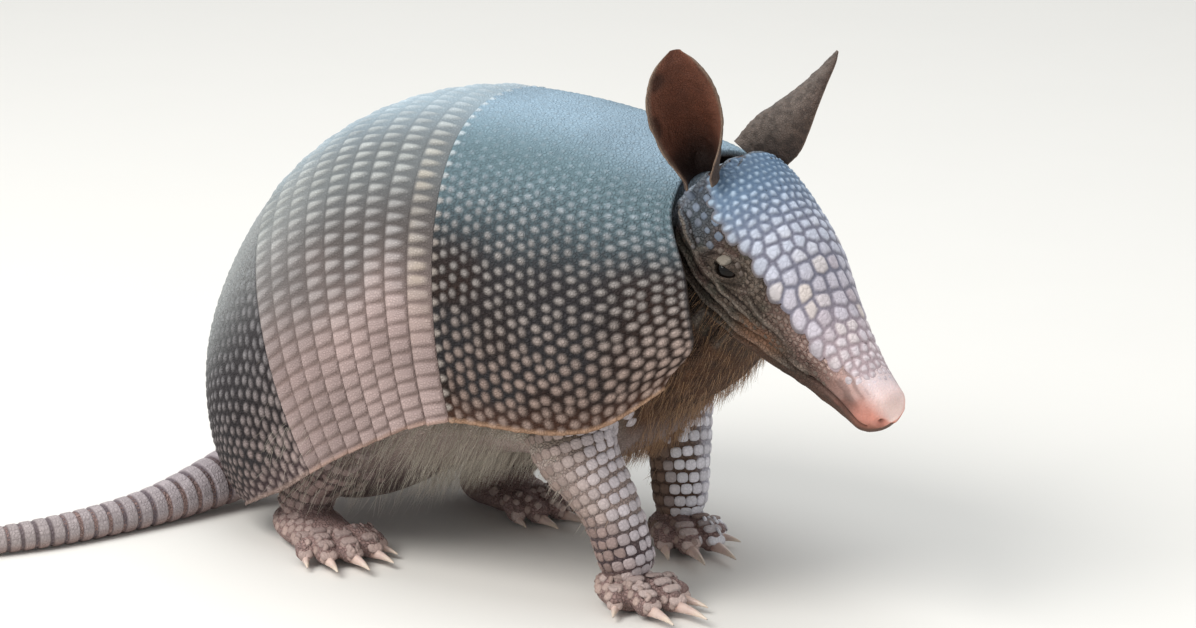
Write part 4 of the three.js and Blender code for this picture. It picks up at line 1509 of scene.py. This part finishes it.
def scale_piece(name, sets, finish, slot, hue, unwrap):
    """A piece made of many scales, each with a patch of the bake at its place on the unrolled skin."""
    centres, normal, along, half_along, half_across, height = (np.array(part) for part in zip(*sets))
    points, quads, fans, flat = domes(centres, normal, along, half_along, half_across, height)
    mesh = bpy.data.meshes.new(name)
    mesh.from_pydata(placed(points).tolist(), [], quads.tolist() + fans.tolist())
    mesh.validate()
    scales = np.arange(len(centres))
    owner = np.concatenate([scales] + [np.repeat(scales, DOME_CORNERS)] * 3)
    # Each scale darkens from its crown to its edge.
    shade = np.repeat([1.04, 1.0, 0.9, 0.7], [len(scales)] + [len(scales) * DOME_CORNERS] * 3)
    paint(mesh, hue(centres, normal)[owner] * shade[:, None])
    bake_map(mesh, unwrap(centres)[owner] + 0.002 * flat)
    piece(name, mesh, finish, slot)


# Millimetres between rows of scales, and how far up the leg they go.
FORE_PITCH, FORE_TOP = 4.6, 80
HIND_PITCH, HIND_TOP = 4.3, 60
FOOT_PITCH, ANKLE = 3.7, 12


def leg_scales(skin):
    """Scales of the legs: staggered rows round each leg, largest and palest down its front."""
    found = []
    for name, path in LEG_PATHS.items():
        pitch, top = (FORE_PITCH, FORE_TOP) if "fore" in name else (HIND_PITCH, HIND_TOP)
        rows = int(even_shares(path, 2)[1] * 0.98 / pitch)
        for row, share in enumerate(even_shares(path, rows + 1)[0]):
            at, aside, up, along = path_frame(path, np.array(share))
            if not ANKLE <= at[2] <= top:
                continue
            radius = float(girth_along(LEG_GIRTHS[name])(share)[0])
            count = int(math.tau * radius / pitch)
            for i in range(count):
                turn = math.tau * (i + 0.5 * (row % 2)) / count
                hit = skin.outward(at, about(np.array(turn), up, aside))
                if hit is None or abs(np.linalg.norm(hit[0] - at) - radius) > 7:
                    continue
                place, normal = hit
                luck = chooser.random(3)
                front = ease(-0.7, 0.8, normal[0] + 0.25 * abs(normal[1]))
                size = pitch * (0.44 + 0.05 * front) * (0.94 + 0.12 * luck[0])
                place = place + along * (luck[1] - 0.5) * 0.4
                height = (0.2 + 0.2 * front) * ease(78, 60, at[2]) + 0.08
                found.append([place, normal, along, size * 0.98, size * 1.03, height])
    return found


def foot_scales(skin):
    """Scales over the top of the feet, and broad ones across each toe down to the claw."""
    found = []
    for foot in FEET.values():
        turn, at = foot_place(foot)
        palm = foot["palm"]
        for n, x in enumerate(np.arange(palm["back"] + 3, palm["front"] - 4, FOOT_PITCH)):
            for y in np.arange(-palm["half"] - 2, palm["half"] + 2.1, 3.9) + 1.95 * (n % 2):
                origin = turn @ np.array([x, y * 0.9, 4.0]) + at
                tilt = unit(np.array([0.0, y / palm["half"] * 0.9, 1.0]))
                hit = skin.outward(origin, turn @ tilt)
                if hit is None or hit[0][2] > 21 or hit[1][2] < -0.1:
                    continue
                size = 1.85 * (0.9 + 0.2 * chooser.random())
                found.append([*hit, turn[:, 0], size, size, 0.3])
        for toe in foot["toes"]:
            path = toe_path(foot, toe)
            count = max(int(np.linalg.norm(path[2] - path[0]) * 0.8 / FOOT_PITCH), 2)
            for share in np.linspace(0.22, 0.95, count):
                spot, aside, up, along = path_frame(path, np.array(share))
                for lean, width, half in ((0.0, 0.78, 2.2), (1.3, 0.36, 1.7), (-1.3, 0.36, 1.7)):
                    way = turn @ unit(about(np.array(lean), up, aside))
                    hit = skin.outward(turn @ spot + at, way)
                    if hit is not None:
                        facing = unit(hit[1] + 1.5 * way)
                        found.append([hit[0], facing, turn @ along, half, toe[3] * width, 0.5])
    return found


def leg_scale_hue(centres, normal):
    """Pale pink-grey scales, darker and browner behind and on the inner sides, the left foreleg's brown
    there partly painted shade; a painted highlight runs down the forelegs' fronts, strongest on the left
    foreleg.
    """
    x, y, z = centres.T
    luck = chance(np.arange(len(centres)), 5.0)
    far, fore = ease(10, 22, y) * ease(-20, 0, x), ease(-20, 0, x) * ease(12, 18, z)
    hue = layered(
        "#948179", ("#c1b1ad", ease(-0.5, 0.75, normal[:, 0] + 0.3 * normal[:, 2])),
        ("#a08b83", 0.7 * ease(52, 76, z)),
        ("#8a7674", 0.6 * ease(-40, -70, x)),
        ("#8f7772", 0.65 * ease(42, 28, z) * ease(10, 18, z)),
        ("#c9aea3", 0.5 * ease(16, 6, z)),
        # The left foreleg's back: brown, partly painted shade.
        ("#6d5748", 0.85 * far * ease(0.5, -0.1, normal[:, 0])),
        # The left foreleg's front: a painted highlight.
        ("#e9e8ee", 0.95 * far * ease(0.0, 0.6, normal[:, 0])),
        # The forelegs' fronts: a painted highlight.
        ("#d8d3dc", 0.6 * fore * ease(0.25, 1.0, normal[:, 0])),
    )
    return hue * (0.86 + 0.24 * luck)[:, None]


def make_leg_scales(skin):
    sets = leg_scales(skin) + foot_scales(skin)
    scale_piece("leg_scales", sets, SCALE_HORN, "scaly_skin", leg_scale_hue, leg_unwrap)


IN_DEGREES = 57.3
# No scales grow within this many millimetres of an eye, and elsewhere this share is missing.
EYE_CLEAR, MISSING_SCALES = 7.5, 0.12


def face_scales(skin):
    """Small scales on the cheeks and muzzle, and rounder ones between the shield and the ear."""
    cheeks, temples = [], []
    for side in (-1, 1):
        for n, share in enumerate(np.arange(0.03, 0.8, 0.021)):
            half = float(head_form(share)[0])
            edge = float(plate_spread(share)[0]) * 1.04
            # By the temple the scales are larger, in every second row.
            temple = share < 0.28
            if temple and n % 2:
                continue
            row, size = (n // 2, 4.6) if temple else (n, 2.5)
            step = size / half * IN_DEGREES
            for degrees in np.arange(edge + row % 2 * 0.5 * step, 108, step):
                stray = chooser.uniform(-0.16, 0.16, 2)
                turn = side * math.radians(degrees + stray[0] * step)
                skin_at = head_point(np.array(share + 0.01 * stray[1]), np.array(turn), 0.0)
                near_eye = np.linalg.norm(skin_at - eye_middle(side)) < EYE_CLEAR
                if near_eye or chooser.random() < MISSING_SCALES:
                    continue
                way = unit(skin_at - head_point(np.array(share), np.array(turn), -8.0))
                hit = skin.outward(skin_at - way * 8, way)
                if hit is None or np.linalg.norm(hit[0] - skin_at) > 5:
                    continue
                luck = 0.7 + 0.5 * chooser.random()
                if temple and degrees < 92:
                    shrink = 1 - 0.45 * ease(edge, 92, degrees)
                    temples.append([*hit, HEAD_AHEAD, 1.9 * luck * shrink, 1.6 * luck * shrink, 0.35])
                else:
                    cheeks.append([*hit, HEAD_AHEAD, luck, 0.7 * luck, 0.15])
    return cheeks, temples


def cheek_hue(centres, _):
    share, turn, _, _ = head_local(centres)
    upper = ease(106, 70, np.abs(np.degrees(turn)))
    hue = layered(
        "#51463d", ("#62554b", upper * ease(0.2, 0.5, share)),
        ("#c0a59d", 0.8 * ease(0.5, 0.72, share) * upper),
    )
    return hue * (0.84 + 0.3 * chance(np.arange(len(centres)), 8.0))[:, None]


def temple_hue(centres, _):
    hue = mixed("#707c8d", "#565150", ease(60, 92, np.abs(np.degrees(head_local(centres)[1]))))
    return hue * (0.75 + 0.42 * chance(np.arange(len(centres)), 18.0))[:, None]


def brow_hue(centres, _):
    return mixed("#5b5049", "#7d756a", np.arange(len(centres)) % len(BROW_SCALES) == 0)


# The scales over each eye, as (ahead of its middle, above it, half length).
BROW_SCALES = [(-2.2, 3.4, 2.5), (2.6, 5.0, 1.2), (-6.6, 3.4, 1.3), (5.6, 3.8, 1.0)]


def make_face_scales(skin):
    cheeks, temples = face_scales(skin)
    scale_piece("cheek_scales", cheeks, SCALE_HORN, "bare_skin", cheek_hue, head_unwrap)
    scale_piece("temple_scales", temples, HEAD_HORN, "head_horn", temple_hue, head_unwrap)
    brows = []
    for side in (-1, 1):
        out = eye_outward(side)
        for forward, above, size in BROW_SCALES:
            hit = skin.outward(eye_middle(side) + HEAD_AHEAD * forward + HEAD_UP * above - out * 6, out)
            if hit is not None:
                brows.append([*hit, HEAD_AHEAD, size * 1.15, size, 0.5])
    scale_piece("brow_scales", brows, HEAD_HORN, "head_horn", brow_hue, head_unwrap)


def make_claws():
    """Claws: curved horn, flat below, narrowing to a blunt point just above the floor."""
    rings, sides = 26, 20
    share, around = grid_of(np.linspace(0, 1, rings), full_circle(sides))
    for name, foot in FEET.items():
        turn, at = foot_place(foot)
        for n, toe in enumerate(foot["toes"], 1):
            _, _, splay, girth, length = toe
            tip = toe_path(foot, toe)[2]
            heading = math.radians(-foot["side"] * splay)
            half = girth * 0.56 * (1 - 0.86 * share**1.35) * filled(0.02 + 0.96 * share, 0.08)
            ahead = -2.5 + (length + 2.5) * share
            arch = girth * 0.55 * np.sin(share * math.pi * 0.55) / 2
            middle = tip[2] + arch - (0.6 + 1.4 * share**1.6)
            up = np.cos(around)
            up = np.where(up < 0, up * 0.72, up)
            side = np.sin(around) * half * 0.86
            local = columns(
                tip[0] + ahead * math.cos(heading) - side * math.sin(heading),
                tip[1] + ahead * math.sin(heading) + side * math.cos(heading),
                np.maximum(middle + up * half, 0.35),
            )
            points = (local @ turn.T + at).reshape(-1, 3)
            hue = layered(
                "#b5938a", ("#d6beb3", ease(0.05, 0.35, share)),
                ("#dacbb8", 0.8 * ease(0.5, 0.9, share)),
            )
            hue = hue * (1 - 0.3 * ease(0.14, 0.0, share))[..., None]
            hue = hue * (0.9 + 0.2 * mottle(points, 3.0)).reshape(share.shape)[..., None]
            mesh = mesh_from(f"{name}_claw_horn_{n}", points, tube_faces(rings, sides), hue)
            piece(f"{name}_claw_horn_{n}", mesh, CLAW_HORN, "claw", f"{name}_claw_{n}")


def make_tail():
    """The tail's armour: broad smooth rings, each of a row of long scales, smaller to the point."""
    rows, sides = 640, 120
    shares, length = even_shares(TAIL_PATH, rows)
    at, aside, up, _ = path_frame(TAIL_PATH, shares)
    evenly = np.linspace(0, 1, rows)
    place = evenly * length
    edges = [6.0]
    while edges[-1] < length:
        edges.append(edges[-1] + 8.4 - 4.6 * edges[-1] / length)
    edges = np.array(edges)
    ring = np.clip(np.searchsorted(edges, place) - 1, 0, len(edges) - 2)
    within = ((place - edges[ring]) / (edges[ring + 1] - edges[ring]))[:, None]
    ring, radius, turn = ring[:, None], through(TAIL_GIRTH)(evenly)[0][:, None], full_circle(sides)[None]
    scales = np.maximum(np.round(math.tau * radius / 4.2), 6)
    spot = turn / math.tau * scales + 0.5 * (ring % 2)
    across = np.abs(spot - np.round(spot)) * 2
    luck = chance(np.round(spot), ring * 2.0)
    plate = ease(0.0, 0.12, within) * ease(0.84, 0.7, within)
    scale = ease(1.0, 0.72, across) * plate
    height = 0.95 * plate * (0.8 + 0.2 * np.sin(within * math.pi)) + 0.16 * scale - 0.3
    # In the gap between rings lies a row of small scales.
    small = ease(0.84, 0.9, within) * ease(1.0, 0.94, within) * (0.5 + 0.5 * np.cos(spot * 4 * math.pi))
    height = height + 0.25 * small
    out = radius - TAIL_INSET + height * np.clip(radius / 11.0, 0.35, 1)
    out = out * filled(np.clip(evenly, 0.0005, 0.9995), 0.02)[:, None]
    points = (at[:, None] + about(turn, up[:, None], aside[:, None]) * out[..., None]).reshape(-1, 3)
    points[:, 2] = np.maximum(points[:, 2], 0)
    pale = layered(
        "#b7adb3", ("#a1948d", evenly[:, None]),
        ("#9c7f76", 0.7 * ease(0.0, -0.8, np.cos(turn))),
    )
    pale = pale * (0.88 + 0.2 * luck)[..., None]
    hue = layered(
        "#5d525b", ("#6a5c58", evenly[:, None]),
        (pale, plate * (0.78 + 0.22 * scale)),
        ("#8a7d83", 0.4 * small),
    )
    mesh = mesh_from("tail_armour", points, tube_faces(rows, sides), hue)
    piece("tail_armour", mesh, TAIL_HORN, "tail_rings", "tail_1", "tail_2", "tail_3", "tail_4")


def make_eyes():
    """Eyeballs: small and dark, with the brown only at their edge."""
    rings, sides = 30, 40
    share, turn = grid_of(np.linspace(0.002, 0.998, rings) * math.pi, full_circle(sides))
    for side, name in ((-1, "right"), (1, "left")):
        out = eye_outward(side)
        first = unit(np.cross(out, [0.0, 0, 1]))
        way = about(share, out, about(turn, first, np.cross(out, first)))
        bulge = EYE["radius"] * (1 + 0.04 * ease(0.6, 0.2, share))
        points = (eye_middle(side) + way * bulge[..., None]).reshape(-1, 3)
        iris = layered(
            "#070504", ("#100a07", ease(0.35, 0.6, share)),
            ("#241b17", ease(0.9, 1.25, share)),
        )
        mesh = mesh_from(f"{name}_eyeball", points, tube_faces(rings, sides), iris)
        piece(f"{name}_eyeball", mesh, WET_EYE, "eye", f"{name}_eye")


# Points along each hair, and round it.
HAIR_PARTS, HAIR_SIDES = 4, 3


def strands(roots, normal, lean, length, width, turns):
    """Tapered hairs that leave the skin along their normal and bend to `lean`."""
    share = np.linspace(0, 1, HAIR_PARTS)[None, :, None]
    steps = unit(normal[:, None] * (1 - share) * 0.5 + lean[:, None] * (0.3 + share))
    steps = steps * (length[:, None, None] / (HAIR_PARTS - 1))
    steps[:, 0] = 0
    line = roots[:, None] + np.cumsum(steps, axis=1)
    side = unit(np.cross(lean, turns))
    ring = about(full_circle(HAIR_SIDES)[None], side[:, None], unit(np.cross(lean, side))[:, None])
    taper = np.linspace(1, 0.15, HAIR_PARTS)[None, :, None, None]
    points = line[:, :, None] + ring[:, None] * taper * width[:, None, None, None] / 2
    starts = np.arange(len(roots)) * HAIR_PARTS * HAIR_SIDES
    quads = tube_faces(HAIR_PARTS, HAIR_SIDES)[None] + starts[:, None, None]
    return points.reshape(-1, 3), quads.reshape(-1, 4)


def belly_unwrap(points):
    """Where a root lies on the skin unrolled about the trunk's long axis, as shares of a square."""
    along = (points[:, 0] + 170) / 290
    round_ = (np.arctan2(points[:, 1], 95 - points[:, 2]) / math.pi + 1) / 2
    return np.clip(columns(along, round_), 0.01, 0.99)


HAIRS, QUICK_HAIRS = 10500, 900


def hair_weights(middle, normal):
    """How thickly hair grows at each place: under the shell, on throat and breast, and on the legs."""
    x, y, z = middle.T
    share, turn, out, _ = head_local(middle)
    belly = ease(92, 78, z) * ease(18, 30, z) * (x > -110) * (x < 30) * ease(0.6, 0.0, normal[:, 2])
    # Little grows on the scaled legs themselves.
    belly = belly * (1 - 0.93 * ease(-24, -12, x) * ease(68, 58, z) * ease(14, 22, np.abs(y)))
    belly = belly * (1 - 0.7 * ease(-48, -58, x) * ease(56, 46, z) * ease(16, 24, np.abs(y)))
    below_jaw = np.maximum(ease(112, 126, np.abs(np.degrees(turn))), ease(1.15, 1.25, out))
    throat = ease(34, 46, x) * ease(0.55, 0.35, share) * ease(0.25, -0.2, normal[:, 2])
    throat = throat * (out > 0.9) * below_jaw
    breast = ease(14, 30, x) * ease(66, 56, x) * ease(84, 70, z) * ease(28, 40, z)
    breast = breast * ease(30, 22, np.abs(y))
    return belly, np.maximum(throat, breast), ease(66, 50, z) * ease(12, 20, z) * 0.06


def make_hair(skin):
    """Sparse coarse hair: pale fringes under the shell, brown tufts on throat, chest and inner legs."""
    corner = skin.points[skin.faces]
    middle = corner.mean(axis=1)
    normal = unit(skin.normals[skin.faces].mean(axis=1))
    area = np.linalg.norm(np.cross(corner[:, 1] - corner[:, 0], corner[:, 2] - corner[:, 0]), axis=1) / 2
    belly, throat, legs = hair_weights(middle, normal)
    weight = area * (belly + 1.2 * throat + legs)
    total = HAIRS
    chosen = chooser.choice(len(middle), total, p=weight / weight.sum())
    roots, normal = middle[chosen], normal[chosen]
    brown = (throat[chosen] > 0.3).astype(float)
    on_leg = (legs[chosen] > belly[chosen]) & (brown < 0.5)
    lean = np.tile([-0.5, 0.0, -1.0], (total, 1)) + chooser.normal(0, 0.2, (total, 3))
    lean[:, 1] += 0.2 * np.sign(roots[:, 1])
    fore = ease(-12, 2, roots[:, 0]) * (1 - brown)
    longer = 1 + 0.4 * ease(70, 45, roots[:, 2]) * (1 - brown) - 0.7 * fore
    longer = longer * np.where(on_leg, 0.4, 1) * np.where(brown > 0, 0.8, 1)
    length = chooser.uniform(5, 13, total) * longer
    length = np.minimum(length, np.maximum(roots[:, 2] - 2, 1) * 0.9)
    width = chooser.uniform(0.13, 0.26, total)
    # Hair high under the shell is dark brown: its own brown with painted shade from the shell.
    hue = layered(
        "#d6cdbe", ("#93887b", chooser.random(total)),
        ("#54402f", 0.85 * ease(58, 74, roots[:, 2])),
    )
    tuft = mixed("#c39a72", "#55392a", chooser.random(total))
    inner = np.maximum(np.maximum(brown, 0.5 * on_leg), 0.9 * fore * (roots[:, 1] > 5))
    hue = mixed(hue, tuft, inner)
    turns = chooser.normal(size=(total, 3))
    points, quads = strands(roots - normal * 0.4, normal, unit(lean), length, width, turns)
    per_hair = HAIR_PARTS * HAIR_SIDES
    mesh = mesh_from("body_hair", points, quads, np.repeat(hue, per_hair, axis=0))
    # Each hair's patch of the bake lies at its root's place on the unrolled skin.
    local = points - np.repeat(roots, per_hair, axis=0)
    spots = np.repeat(belly_unwrap(roots), per_hair, axis=0)
    bake_map(mesh, spots + 0.0015 * np.clip(local[:, [0, 2]] / 20, -1, 1))
    piece("body_hair", mesh, HAIR, "bare_skin")


# ---------------------------------------------------------------- stage, lights and camera


CAMERA = {"azimuth": 32, "elevation": 15.5, "distance": 2.0, "lens": 153.5, "target": [0, 0, 98.7]}
LIT = [-20.0, 0, 80]
# Each light as (name, metres from what it lights, size, watts, colour).
LIGHTS = [
    ("key", [-0.5, -1.1, 1.3], 1.1, 24, (1.0, 0.98, 0.95)),
    ("sky", [-0.1, 0.3, 1.6], 1.6, 12, (0.93, 0.97, 1.0)),
]
FLOOR_HALF = 5.0


def aim(thing, target):
    thing.rotation_euler = (Vector(target) - thing.location).to_track_quat("-Z", "Y").to_euler()


def make_lights():
    target = placed(np.array(LIT))
    for name, offset, size, watts, colour in LIGHTS:
        light = bpy.data.lights.new(name, "AREA")
        light.shape = "DISK"
        light.size = size
        light.energy = watts
        light.color = colour
        made = in_scene(name, light)
        made.location = target + np.array(offset)
        aim(made, target)


def make_stage():
    mesh = bpy.data.meshes.new("studio_floor")
    corners = [(x * FLOOR_HALF, y * FLOOR_HALF, 0) for x, y in ((-1, -1), (1, -1), (1, 1), (-1, 1))]
    mesh.from_pydata(corners, [], [(0, 1, 2, 3)])
    mesh.materials.append(studio_paper())
    floor = in_scene("studio_floor", mesh)


def make_sky():
    """White behind the floor, straight or mirrored; the light itself is softer."""
    world = bpy.data.worlds.new("studio")
    world.use_nodes = True
    bpy.context.scene.world = world
    tree = world.node_tree
    background = tree.nodes["Background"]
    background.inputs["Color"].default_value = (0.97, 0.985, 1.0, 1)
    path = add(tree, "LightPath").outputs
    seen = path["Is Camera Ray"]
    for other in ("Is Glossy Ray", "Is Transmission Ray"):
        seen = add(tree, "Math", {0: seen, 1: path[other]}, operation="MAXIMUM").outputs[0]
    strength = add(tree, "MapRange", {"Value": seen, "To Min": 0.62, "To Max": 1.0})
    tree.links.new(strength.outputs[0], background.inputs["Strength"])


def make_camera():
    data = bpy.data.cameras.new("camera")
    data.lens = CAMERA["lens"]
    data.sensor_width = 36
    data.clip_end = 60
    camera = in_scene("camera", data)
    azimuth, elevation = math.radians(CAMERA["azimuth"]), math.radians(CAMERA["elevation"])
    target = placed(np.array(CAMERA["target"]))
    back = np.array([
        math.sin(azimuth) * math.cos(elevation),
        -math.cos(azimuth) * math.cos(elevation),
        math.sin(elevation),
    ])
    camera.location = target + back * CAMERA["distance"]
    aim(camera, target)
    bpy.context.scene.camera = camera


make_camera()
make_stage()
make_sky()
make_lights()
make_shell()
make_head_shield()
skin_mesh = make_skin()
skin = Skin(skin_mesh)
grow_ears(skin_mesh)
piece("skin", skin_mesh, HIDE, "bare_skin", *FLESH)
make_leg_scales(skin)
make_face_scales(skin)
make_claws()
make_tail()
make_eyes()
make_hair(skin)

bpy.context.scene.view_settings.view_transform = "Standard"
